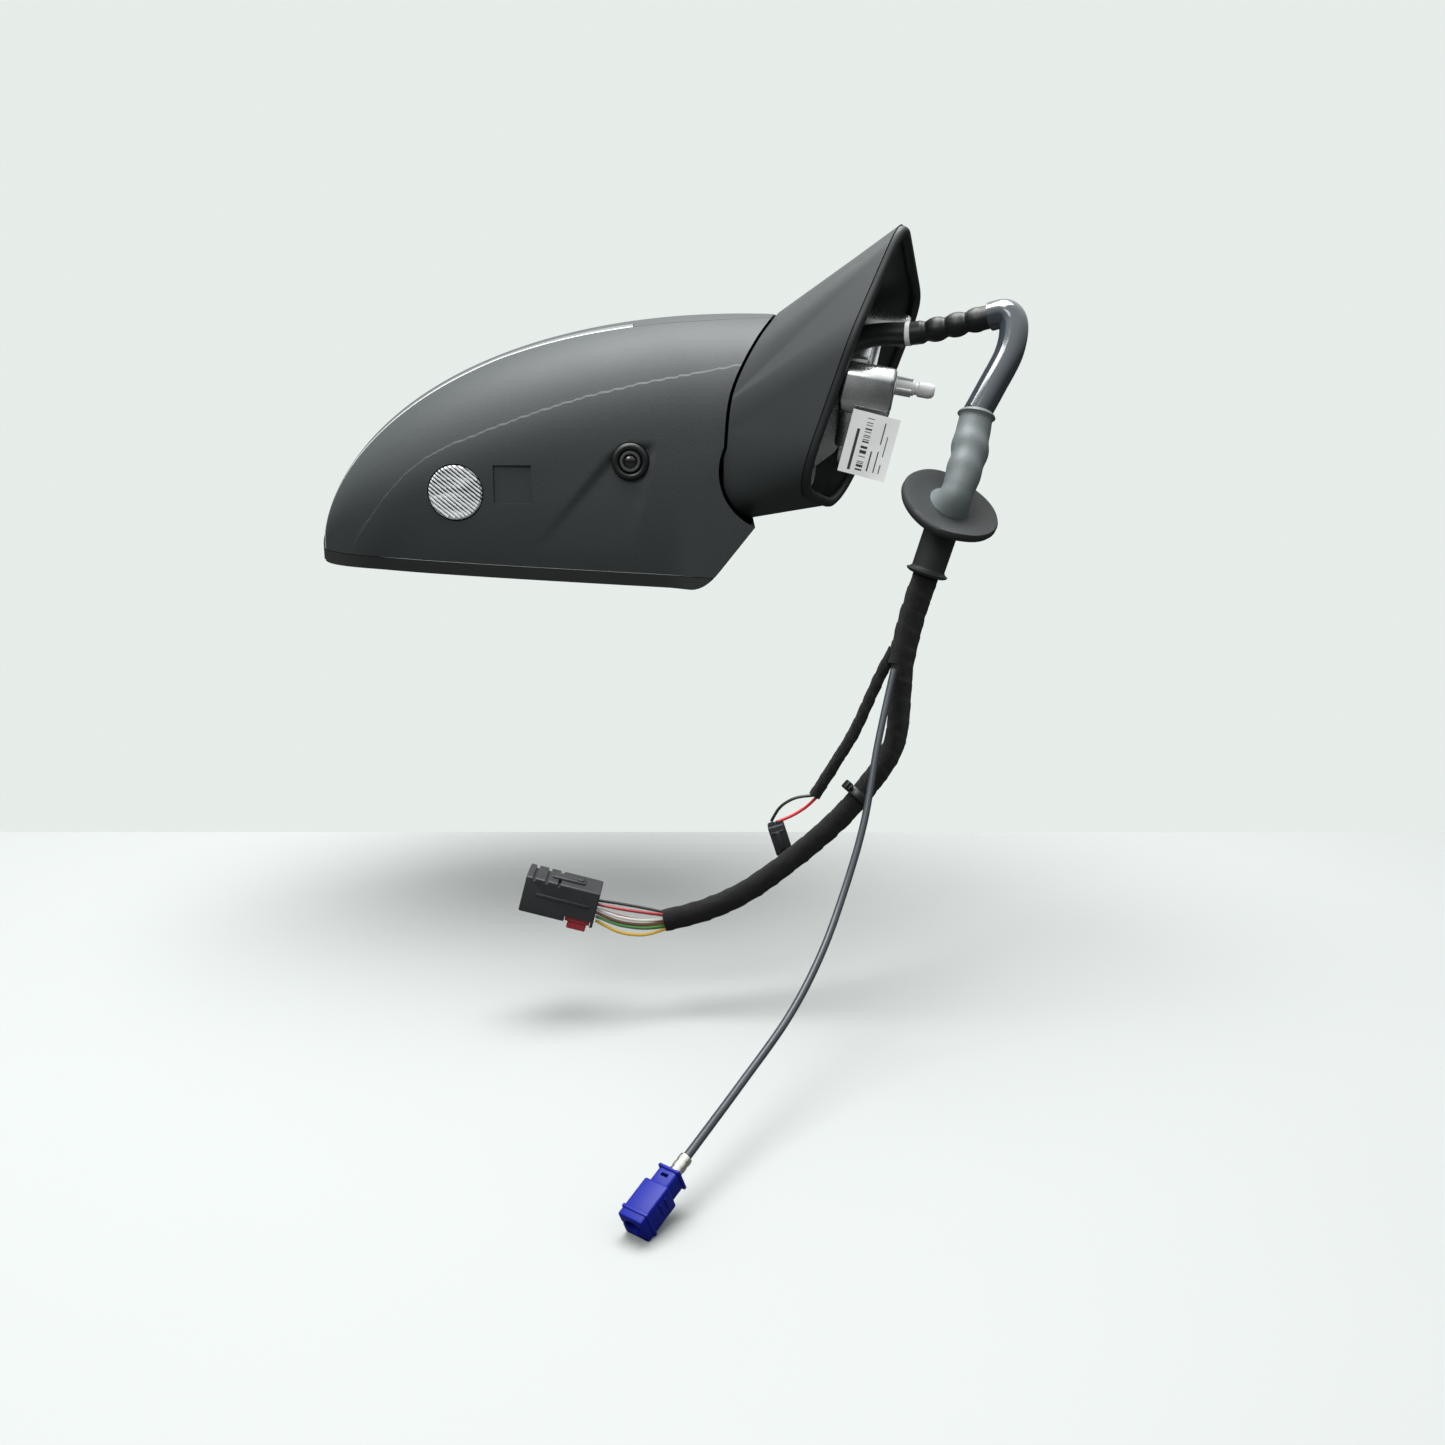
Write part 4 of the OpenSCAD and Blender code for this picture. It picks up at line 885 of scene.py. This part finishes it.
def coax_plug():
    m = in_coax(8)
    neck = box("neck", (-4.3, -4.3, 0), (4.3, 4.3, 9), m, 1.2, 4)
    body = box("body", (-5.5, -5.5, 8), (5.5, 5.5, 25), m, 0.7)
    boolean(body, box("slot", (3.5, -3.3, 9), (7, 3.3, 18), m))
    boolean(body, revolve("bore", [(3.6, 0), (3.6, 12)], m @ Vector((0, 0, 17)), coax_dir, 32))
    boolean(body, box("key", (-1, -7, 19.0), (1, -4.6, 26), m))
    boolean(neck, box("window", (-6, -1.6, 3.2), (6, 1.6, 4.6), m))
    obs = [neck, body, box("rear", (-4.9, -4.9, 0.3), (4.9, 4.9, 1.7), m, 0.5)]
    for y in (-5.9, 5.3):
        for z in (11, 14):
            obs.append(box("bar", (-3.2, y, z), (2.4, y + 0.6, z + 1.0), m, 0.2))
    obs.append(box("collar", (-5.9, -5.9, 20.5), (5.9, 5.9, 22.0), m, 0.4))
    boolean(obs[-1], box("inner", (-5.3, -5.3, 20), (5.3, 5.3, 23), m))
    obs.append(revolve("pin", [(0.5, 0), (0.5, 5)], m @ Vector((0, 0, 16.5)), coax_dir, 16))
    return join("coax_housing", obs)


coax_plug_piece = place_piece(coax_plug(), "plug_blue", "foot", ["coax_plug"])


def coax_lock():
    m = in_coax(8)
    obs = boxes(m, [("plate", (3.8, -3, 9.3), (5.9, 3, 15.3), 0.4),
                    ("thumb", (5.4, -2.4, 9.9), (7.0, 2.4, 14.7), 0.5)])
    obs.append(bar_row("grips", 3, (7.0, 0, 10.9), (0, 0, 1.3), (0.4, 4.4, 0.6), m))
    return join("violet_slide", obs)


coax_lock_piece = place_piece(coax_lock(), "lock_purple", "purple_lock", ["coax_lock"])

metres(even(route(THIN, 10), STEP))
metres(even(route(THICK, 10), STEP))


# ---- Head: the same sections as the solids, drawn finer, with crease, facet and recess ----
PIVOT = (-62.0, -38.5)
REACH, DEPTH, WIDTH, WALL = 249.0, 143.0, 160.0, 2.5
MID, CAP_Y, END_X, RIM_X = 55.0, 17.0, -52.0, -106.0
TIP_X = PIVOT[0] - REACH
RIM_Z = -99.5
TOP_Z = RIM_Z + DEPTH + 2
TILT = math.radians(3.2)
DECK, FLOOR, POST_H, KNUCKLE, SEAM = 26.0, 28.5, 52.0, 28.8, 1.8
TUCK, CREASE_STEP, CREASE_HALF = 4.0, 1.7, 0.55
DROP_X = -210.0


def clamp(v, a=0.0, b=1.0):
    return max(a, min(b, v))


def smoothstep(a, b, v):
    t = clamp((v - a) / (b - a))
    return t * t * (3 - 2 * t)


def taper(x, n):
    return (1 - clamp((END_X - x) / (END_X - TIP_X)) ** n) ** (1 / n)


def rim_line(x):
    return RIM_Z - (x - RIM_X) * math.tan(TILT)


def under_line(x):
    """Underside of the head: the rim line, which a ramp to the knuckle takes over softly."""
    a, b, k = rim_line(x), rim_line(-100) + 1.25 * (x + 100), 10.0
    h = clamp(0.5 + (b - a) / (2 * k))
    return a + (b - a) * h + k * h * (1 - h)


def part_line(x):
    """Line between shell and cap, which drops towards the tip."""
    return CAP_Y - 12.0 * max(0.0, (DROP_X - x) / (DROP_X - TIP_X))


def band(name, x1, d0, d1):
    """A block along the part line, from d0 to d1 above it."""
    x0 = TIP_X - 10
    low, high = ([(x0, part_line(x0) + d), (DROP_X, CAP_Y + d), (x1, CAP_Y + d)] for d in (d0, d1))
    return prism(name, low + high[::-1], -130, 130)


def end_inset(x):
    return 7 * clamp((x + 64) / 10) ** 2


def front_line(x):
    return rim_line(x) + (TOP_Z - RIM_Z) * taper(x, 2.05) - end_inset(x)


def half_width(x):
    return WIDTH / 2 * taper(x, 5) - end_inset(x)


CREASE = [(-330, -130), (-300, -101), (-285, -74.3), (-259, -41.9), (-239.2, -28.3), (-204.8, -15.2),
          (-170.7, -3.7), (-136.5, 4.7), (-81.3, 14.9), (-40, 21)]


def crease(x):
    for (x0, z0), (x1, z1) in zip(CREASE, CREASE[1:]):
        if x <= x1:
            return z0 + (z1 - z0) * (x - x0) / (x1 - x0)
    return CREASE[-1][1]


def smooth_crease(x):
    return sum(crease(x + d) for d in (-9, -4.5, 0, 4.5, 9)) / 5


def half_profile(x, w, open_rim):
    """Half of the section at x from the rim to the front, w inside the outer face."""
    z0 = rim_line(x) - 4 if open_rim and x < RIM_X else under_line(x) + w + end_inset(x)
    z3 = front_line(x) - w
    a = half_width(x) - w
    zs = under_line(x) + (z3 - under_line(x)) * 0.35
    # The side draws in a little towards the rim
    tuck = TUCK * smoothstep(-300, -270, x) * (1 - smoothstep(-120, -104, x))
    pts = [(a - tuck * (1 - k / 30) ** 2, z0 + (zs - z0) * k / 30) for k in range(30)]
    for k in range(121):
        t = math.pi / 2 * (k / 120) ** 1.3
        pts.append((a * math.cos(t) ** 0.72 if k < 120 else 0.0, zs + (z3 - zs) * math.sin(t) ** 0.78))
    return pts


def resample(pts, cuts):
    """Points of a profile at the lengths that cuts asks for."""
    run = [0.0]
    for p, q in zip(pts, pts[1:]):
        run.append(run[-1] + math.hypot(q[0] - p[0], q[1] - p[1]))
    out, i = [], 0
    for c in cuts(pts, run):
        while i < len(run) - 2 and run[i + 1] < c:
            i += 1
        while i > 0 and run[i] > c:
            i -= 1
        t = clamp((c - run[i]) / max(1e-9, run[i + 1] - run[i]))
        out.append((pts[i][0] + (pts[i + 1][0] - pts[i][0]) * t, pts[i][1] + (pts[i + 1][1] - pts[i][1]) * t))
    return out


def facet(x, z):
    """Depth of the flat wedge below the camera."""
    cx, cz = CAMERA
    down = clamp((cz + 6 - z) / 52)
    left = cx - 9 - (cz - z + 3) * 0.86
    right = cx + 9.5 - (cz - z + 3) * 0.22
    inside = smoothstep(left - 1.6, left + 1.6, x) * (1 - smoothstep(right - 1.2, right + 1.2, x))
    return 2.2 * inside * (1 - down) * smoothstep(cz + 9, cz + 5, z) if z < cz + 9 else 0.0


N_BELOW, N_ABOVE, N_HIGH = 62, 44, 74


def section(x, w, open_rim, detail):
    """One ring of the head. detail adds the crease and the facet on the lamp side."""
    pts = half_profile(x, w, open_rim)
    zc = smooth_crease(x)

    def low_cuts(p, run):
        at = run[-1] * 0.5
        for q, r in zip(p, run):
            if q[1] >= zc:
                at = r
                break
        at = clamp(at, run[-1] * 0.06, run[-1] * 0.9)
        below = [(at - CREASE_HALF) * k / N_BELOW for k in range(N_BELOW)]
        above = [at + CREASE_HALF + (run[-1] - at - CREASE_HALF) * k / N_ABOVE for k in range(N_ABOVE)]
        return below + [at - CREASE_HALF] + above

    def high_cuts(p, run):
        return [run[-1] * (1 - k / N_HIGH) for k in range(N_HIGH + 1)]

    low = resample(pts, low_cuts)
    high = resample(pts, high_cuts)
    ring = []
    fade = smoothstep(-292, -262, x) * (1 - smoothstep(-80, -66, x))
    for k, (a, z) in enumerate(low):
        d = 0.0
        if detail and k <= N_BELOW:
            d = -CREASE_STEP * fade * smoothstep(-40, 0, z - zc) + facet(x, z)
        ring.append(Vector((x, MID - a + d, z)))
    for a, z in high:
        ring.append(Vector((x, MID + a, z)))
    return ring


def stations(w, count):
    """Where the head's rings stand: dense at the round tip, and through the ramp to the knuckle."""
    reach = END_X - TIP_X - w
    xs = [END_X - reach * math.cos(math.radians(7 + 68 * (k / count))) for k in range(count + 1)]
    last = xs[-1]
    xs += [last + (RIM_X - 0.02 - last) * k / 8 for k in range(1, 9)]
    xs += [RIM_X + 1, -103, -101, -99.5] + [-98 + 2 * k for k in range(17)]
    return xs + [-63 + k for k in range(8)] + [-54, END_X - w]


def head_solid(name, w, open_rim, count, detail):
    """The head, w inside its outer face. detail rounds its tip and the top of its knuckle."""
    rings = [section(x, w, open_rim, detail) for x in stations(w, count)]
    if detail:
        first = rings[0]
        centre = sum(first, Vector()) / len(first)
        extra = []
        for dx, inset in ((-1.5, 3.4), (-1.15, 1.6), (-0.6, 0.55)):
            ring = []
            for p in first:
                v = Vector((0, p.y - centre.y, p.z - centre.z))
                share = clamp(inset / max(1.0, v.length), 0, 0.8)
                ring.append(Vector((first[0].x + dx, p.y - share * v.y, p.z - share * v.z)))
            extra.append(ring)
        rings = extra + rings
    ob = loft(name, rings)
    r = KNUCKLE - 3.5 - w
    y0, y1 = FLOOR - (1 if w else 0), DECK + POST_H + 6 - w
    soft = 2.5 if detail else 0.0
    h = y1 - y0
    profile = [(r - 0.01, 0), (r, h - soft), (r - soft, h)] if detail else [(r, 0), (r, h)]
    knob = revolve("knob", profile, (PIVOT[0], y0, PIVOT[1]), ALONG_Y, 120)
    return boolean(ob, knob, "UNION")


def polar(r, degrees):
    a = math.radians(degrees)
    return (PIVOT[0] + r * math.cos(a), PIVOT[1] + r * math.sin(a))


def seam_points(g):
    """The joint line between foot and head, g outside the foot: round the knuckle, then up the side."""
    arc = [polar(KNUCKLE + g, -108 - 4 * k) for k in range(25)]
    line = [(-85 - g, 1), (-72.5 - g, 27), (-57 - g, 47)]
    soft = [Vector(p) for p in [arc[-1]] + line]
    return arc + [tuple(curve_point(soft, i, k / 6)) for i in range(len(soft) - 1) for k in range(1, 7)]


def below_bezel(gap):
    m = Matrix.Translation((RIM_X, 0, RIM_Z + 7 + gap)) @ Matrix.Rotation(TILT, 4, "Y")
    return box("below", (-300, -150, -100), (100, 250, 0), m)


outer = head_solid("outer", 0.0, False, 118, True)
inner = head_solid("inner", WALL, True, 60, False)
hollow = boolean(outer, inner)
mouth = ([(PIVOT[0] + (KNUCKLE + SEAM) * math.cos(math.radians(108)), -130)] + seam_points(SEAM)
         + [(-30, 90), (60, 90), (60, -130)])
boolean(hollow, slab("mouth", mouth, -60, FLOOR))

bezel = copy_of(hollow, "glass_bezel")
boolean(bezel, below_bezel(-0.35), "INTERSECT")
boolean(hollow, below_bezel(0.0))

lower = copy_of(hollow, "lower_casing")
boolean(lower, band("cutter", 60, 0, 200))
lamp_y = MID - half_width(LAMP[0])
camera_y = MID - half_width(CAMERA[0]) + 0.4
for (x, z), r, sides in ((LAMP, LAMP_R + 0.7, 96), (CAMERA, CAMERA_R + 0.35, 80)):
    boolean(lower, revolve("hole", [(r, 0), (r, 60)], (x, -60, z), ALONG_Y, sides))
boolean(lower, box("recess", (-209.0, -60, -54.5), (-189.2, MID - half_width(-199) + 1.2, -35.0)))
place_piece(lower, "shell_plastic", "head", ["lower_shell"], 32)

STRIP_END = -138.0
cap = copy_of(hollow, "front_cap")
boolean(cap, band("cutter", 60, -100, 0.35))
boolean(cap, band("strip", STRIP_END, -1, 7.0))
place_piece(cap, "cap_plastic", "head", ["skull_cap"], 32)

strip = copy_of(hollow, "signal_strip")
boolean(strip, band("keep", STRIP_END - 0.3, 1.5, 6.7), "INTERSECT")
edge = hollow
edge.name = "signal_edge"
boolean(edge, band("keep", STRIP_END - 0.3, 0.1, 1.4), "INTERSECT")
place_piece(strip, "signal_clear", "head", ["signal_lens"], 32)
place_piece(edge, "guide_clear", "head", ["signal_lens"], 32)
place_piece(bezel, "bezel_plastic", "head", ["bezel_ring"], 32)


def lamp_lens():
    """Clear disc with round-backed ribs across it."""
    profile = [(LAMP_R - 0.5, 0.35), (LAMP_R, 0.9), (LAMP_R, 3.0), (LAMP_R - 2, 3.0), (LAMP_R - 2, 1.4),
               (0.2, 1.4), (0.2, 0.35)]
    disc = revolve("disc", profile, (LAMP[0], lamp_y - 0.9, LAMP[1]), ALONG_Y, 96, True)
    place = (Matrix.Translation((LAMP[0], lamp_y - 0.55, LAMP[1])) @ Matrix.Rotation(-LENS_TURN, 4, "Y")
             @ Matrix.Rotation(math.radians(90), 4, "X"))
    values = {"Count": LENS_COUNT, "Disc Radius": LENS_RADIUS, "Rib Height": 0.7, "Finish": MATS["lamp_clear"]}
    ribs = run_tree(new_object("ribs", [], []), LENS_RIBS, values, place)
    disc.data.materials.append(MATS["lamp_clear"])
    return join("lamp_glass", [disc, ribs])


place_piece(lamp_lens(), None, "head", ["lamp_lens"], 50)

RING = [(6.1, -1.0), (6.6, -1.9), (7.6, -2.2), (8.6, -1.9), (CAMERA_R, -0.9), (CAMERA_R, 5.0), (5.9, 5.0),
        (5.9, 0.4), (5.75, 0.1)]
BARREL = [(3.7, -1.2), (4.1, -2.0), (5.0, -2.0), (5.4, -1.4), (5.5, 0.6), (5.5, 5.0), (3.5, 5.0), (3.5, -0.8)]
camera_at = (CAMERA[0], camera_y, CAMERA[1])
place_piece(revolve("camera_ring", RING, (CAMERA[0], camera_y + 0.2, CAMERA[1]), ALONG_Y, 80, True),
            "camera_black", "head", ["camera_bezel"], 50)
place_piece(revolve("camera_barrel", BARREL, camera_at, ALONG_Y, 64, True), "barrel_grey", "head")
dome = [(3.45 * math.sin(math.radians(9 * k)), -1.6 * math.cos(math.radians(9 * k)) - 0.3) for k in range(11)]
dome[0] = (0.05, dome[0][1])
place_piece(revolve("camera_front", dome + [(3.45, 4.5), (0.05, 4.5)], camera_at, ALONG_Y, 64), "camera_glass",
            "head", ["camera_lens"], 50)

# ---- Foot: cone between the head and the door, its rubber lip and the cast bracket ----
LEAN, YAW = math.radians(19.5), math.radians(-21.6)
DOOR = Matrix.Rotation(YAW, 4, "Z") @ Matrix.Rotation(LEAN, 4, "Y")
MOUNT = Matrix.Rotation(math.radians(-8), 4, "Z") @ Matrix.Rotation(math.radians(10), 4, "Y")
DISCS = [(-34, 72, 9), (28, 36, 18), (9, -41, 29), (-31, -35, 27), (-37, 22, 20)]
FLANGE_X, BOLTS_R = -18.0, 38.0


def sgn_pow(v, p):
    return math.copysign(abs(v) ** p, v)


def flange_point(a, w):
    c, s = math.cos(a), math.sin(a)
    best = max(DISCS, key=lambda d: d[0] * c + d[1] * s + d[2] - w)
    return (best[0] + (best[2] - w) * c, best[1] + (best[2] - w) * s)


def flange_outline(w, count):
    """The flange outline with its points an even distance apart."""
    dense = [Vector(flange_point(2 * math.pi * k / 720, w)) for k in range(720)]
    dense.append(dense[0])
    run = [0.0]
    for p, q in zip(dense, dense[1:]):
        run.append(run[-1] + (q - p).length)
    out, i = [], 0
    for k in range(count):
        want = run[-1] * k / count
        while run[i + 1] < want:
            i += 1
        t = (want - run[i]) / max(1e-9, run[i + 1] - run[i])
        out.append(dense[i].lerp(dense[i + 1], t))
    # Corners between the discs are eased
    span = max(1, round(9.0 / (run[-1] / count)))
    return [sum((out[(k + j) % count] for j in range(-span, span + 1)), Vector((0, 0))) / (2 * span + 1)
            for k in range(count)]


def flange_3d(p, x):
    return DOOR @ Vector((x, p[0], p[1]))


def foot_ring(s, w, count):
    """A ring of the cone, a share s of the way from the flange to the knuckle, w inside the outer face."""
    ring = []
    flange = flange_outline(w, count)
    for k, f in enumerate(flange):
        # The angle whose support point this is, found from the outline's own normal
        a, b = flange[k - 1], flange[(k + 1) % count]
        t = (b - a).normalized()
        ang = math.atan2(-t.x, t.y)
        g = (10 + (33 - w) * sgn_pow(math.cos(ang), 0.72), -22.5 + (44.5 - w) * sgn_pow(math.sin(ang), 0.72))
        ring.append(flange_3d(f, FLANGE_X).lerp(Vector((-90, g[0], g[1])), s))
    return ring


def foot_solid(name, w, s0, count):
    steps = [s0 + (1 - s0) * k / 12 for k in range(13)]
    return loft(name, [foot_ring(s, w, count) for s in steps])


foot = foot_solid("foot_cone", 0.0, 0.0, 200)


def clip_and_clear(ob, w):
    """Cuts the cone off at the joint line, and takes away the room where the head turns."""
    outline = ([(-72 + w, -110), polar(KNUCKLE - w, -96)] + seam_points(-w)
               + [(-10, 110), (60, 110), (60, -110)])
    boolean(ob, slab("clip", outline, -90, 90), "INTERSECT")
    r = KNUCKLE - 1 + w
    room = revolve("room", [(r, 0), (r, 130 - DECK + w)], (PIVOT[0], DECK - w, PIVOT[1]), ALONG_Y, 120)
    boolean(room, box("back", (-160, DECK - w, -130), (-48 + w, 146 - w, 130)), "UNION")
    return boolean(ob, room)


clip_and_clear(foot, 0)
boolean(foot, clip_and_clear(foot_solid("foot_void", WALL, -0.05, 160), WALL))
boolean(foot, revolve("bore", [(15.3, 0), (15.3, 13)], (PIVOT[0], DECK - 8, PIVOT[1]), ALONG_Y, 64))
place_piece(foot, "foot_plastic", "foot", ["foot_cover"], 34)


def lip():
    """Rubber lip on the flange: a rounded section that runs round the outline."""
    shape = [(0.5, 0.2), (0.3, 1.0), (0.35, 2.4), (0.8, 3.5), (1.8, 4.0), (3.6, 3.9), (4.9, 3.3), (5.5, 2.2),
             (5.6, 0.8), (5.4, 0.2)]
    rings = [[flange_3d(p, FLANGE_X + h) for p in flange_outline(w, 200)] for w, h in shape]
    return loft("flange_lip", rings, True)


place_piece(lip(), "gasket_rubber", "foot", ["flange_gasket"], 50)


# Local Z runs out to the door, local X and Y are the plane of the bolts
ON_MOUNT = MOUNT @ Matrix(((0, 0, 1, 0), (1, 0, 0, 0), (0, 1, 0, 0), (0, 0, 0, 1)))
TO_DOOR = ON_MOUNT.to_3x3() @ Vector((0, 0, 1))


def bracket():
    obs = []
    m = ON_MOUNT
    for k in range(3):
        a = math.radians(180 + 120 * k)
        p = Vector((BOLTS_R * math.cos(a), BOLTS_R * math.sin(a), 0))
        # Boss with a turned face and a chamfered bore
        profile = [(3.4, -18), (3.4, -1.0), (4.1, 0.0), (7.2, 0.0), (8.0, -0.8), (8.5, -1.6), (8.5, -14),
                   (9.4, -22), (9.4, -24), (3.4, -24)]
        obs.append(revolve("boss", profile, m @ p, TO_DOOR, 48, True))
        # Blunt, faceted arm to the hub, with a rib along its middle
        arm = m @ Matrix.Rotation(a, 4, "Z")
        obs.append(prism("arm", [(-2, -7.5), (16, -8.4), (34, -7.2), (41, -5), (41, 5), (34, 7.2), (16, 8.4),
                                 (-2, 7.5)], -27, -16.5, arm, 1.0))
        obs.append(prism("rib", [(2, -1.3), (36, -1.3), (36, 1.3), (2, 1.3)], -17, -12.5, arm, 0.5))
    obs.append(box("hub", (-8, -12, -36), (20, 16, -16), m, 1.6))
    # Chunky die-cast block behind the nearest boss
    block = prism("block", [(-49, -7), (-45, -12), (-30, -12), (-22, -4), (-23, 9), (-30, 13), (-43, 13), (-49, 8)],
                  -26, -0.4, m, 2.2, 3)
    boolean(block, revolve("hole", [(3.35, -30), (3.35, 10)], m @ Vector((-BOLTS_R, 0, 0)), TO_DOOR, 40))
    obs.append(block)
    y0, y1 = DECK - 12, DECK - 3
    h = y1 - y0
    obs.append(revolve("deck", [(6.5, 0), (21.3, 0), (22, 0.7), (22, h - 0.7), (21.3, h), (6.5, h)],
                       (PIVOT[0], y0, PIVOT[1]), ALONG_Y, 80, True))
    web = slab("web", [(-68, -58.5), (-66, -18.5), (-26, 14), (-16, -8), (-30, -30)], y0, y1 - 0.5)
    boolean(web, revolve("bore", [(7, -2), (7, 14)], (PIVOT[0], y0, PIVOT[1]), ALONG_Y, 40))
    obs.append(web)
    return join("cast_bracket", obs)


place_piece(bracket(), "cast_metal", "foot", ["bracket"], 30)


def pin():
    """A stepped pin with four fins that grip the hole in the door."""
    p = ON_MOUNT @ Vector((2, 5, 0))
    profile = [(0.2, -27), (3.2, -27), (3.2, -16), (4.9, -16), (5.2, -15.5), (5.2, -0.9), (4.8, -0.4), (4.0, -0.4),
               (4.0, 9.0), (3.2, 9.6), (3.2, 11.0), (4.0, 11.6), (4.0, 17.0), (3.4, 19.0), (2.0, 20.0), (0.2, 20.0)]
    obs = [revolve("body", profile, p, TO_DOOR, 40)]
    for k in range(4):
        turn = Matrix.Rotation(math.pi / 2 * k + 0.4, 4, "Z")
        place = Matrix.Translation(p) @ ON_MOUNT.to_3x3().to_4x4() @ turn
        obs.append(box("fin", (3.4, -0.7, -4), (5.2, 0.7, 8), place, 0.3))
    return join("pin_body", obs)


place_piece(pin(), "white_plastic", "foot", ["locating_pin"], 40)


def label():
    """Thin sticker that curls a little at its free corner."""
    m = (Matrix.Translation((-18, -47.5, -24)) @ Matrix.Rotation(math.radians(-8), 4, "Z")
         @ Matrix.Rotation(math.radians(14), 4, "Y"))
    width, height, nx, nz, t = 24, 31, 16, 20, 0.22
    verts, uvs = [], []
    for side in (-t / 2, t / 2):
        for i in range(nx + 1):
            for j in range(nz + 1):
                u, v = i / nx, j / nz
                curl = -1.2 * (u ** 3) * ((1 - v) ** 2) + 0.5 * u * v
                verts.append(m @ Vector((width * (u - 0.5), side + curl, height * (v - 0.5))))
                uvs.append((u, v))
    count = (nx + 1) * (nz + 1)
    faces = []
    for i in range(nx):
        for j in range(nz):
            a = i * (nz + 1) + j
            b = a + nz + 1
            faces.append((a, b, b + 1, a + 1))
            faces.append((count + a, count + a + 1, count + b + 1, count + b))
    rim = list(range(nz + 1)) + [i * (nz + 1) + nz for i in range(1, nx + 1)]
    rim += [nx * (nz + 1) + j for j in range(nz - 1, -1, -1)] + [i * (nz + 1) for i in range(nx - 1, 0, -1)]
    for p, q in zip(rim, rim[1:] + rim[:1]):
        faces.append((p, q, q + count, p + count))
    ob = outward(new_object("sticker", verts, faces))
    layer = ob.data.uv_layers.new(name="sheet")
    for loop in ob.data.loops:
        layer.data[loop.index].uv = uvs[loop.vertex_index]
    return ob


place_piece(label(), "label_paper", "foot", ["paper_label"], 50)

# ---- Solids that stay as they are get their finishes ----
slots = {s["node"]: s["material_slot"] for s in record["subparts"]}
for name, ob in frame["nodes"].items():
    mat = MATS[slots[name]]
    if not ob.data.materials:
        ob.data.materials.append(mat)
    for k in range(len(ob.data.materials)):
        ob.data.materials[k] = mat

# ---- Floor: pale to the eye, and it throws back less light, as it does under a large object ----
low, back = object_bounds()[0][2], 0.148
floor = new_object("floor", [(-3, -2.5, low), (3, -2.5, low), (3, back, low), (-3, back, low)], [(0, 1, 2, 3)])
board = finish("floor_board", (0.37, 0.385, 0.38, 1), (0.39, 0.405, 0.40, 1), 0.6, 0.1, 300, 3, 0.02, 0.0002,
               specular=0.2)
floor.data.materials.append(board)
parts = board.node_tree.nodes
dark = node(board.node_tree, "ShaderNodeBsdfDiffuse", {"Color": (0.07, 0.07, 0.07, 1)})
seen_and_lit(board.node_tree, dark.outputs["BSDF"], parts["Principled BSDF"].outputs["BSDF"],
             parts["Material Output"].inputs["Surface"])
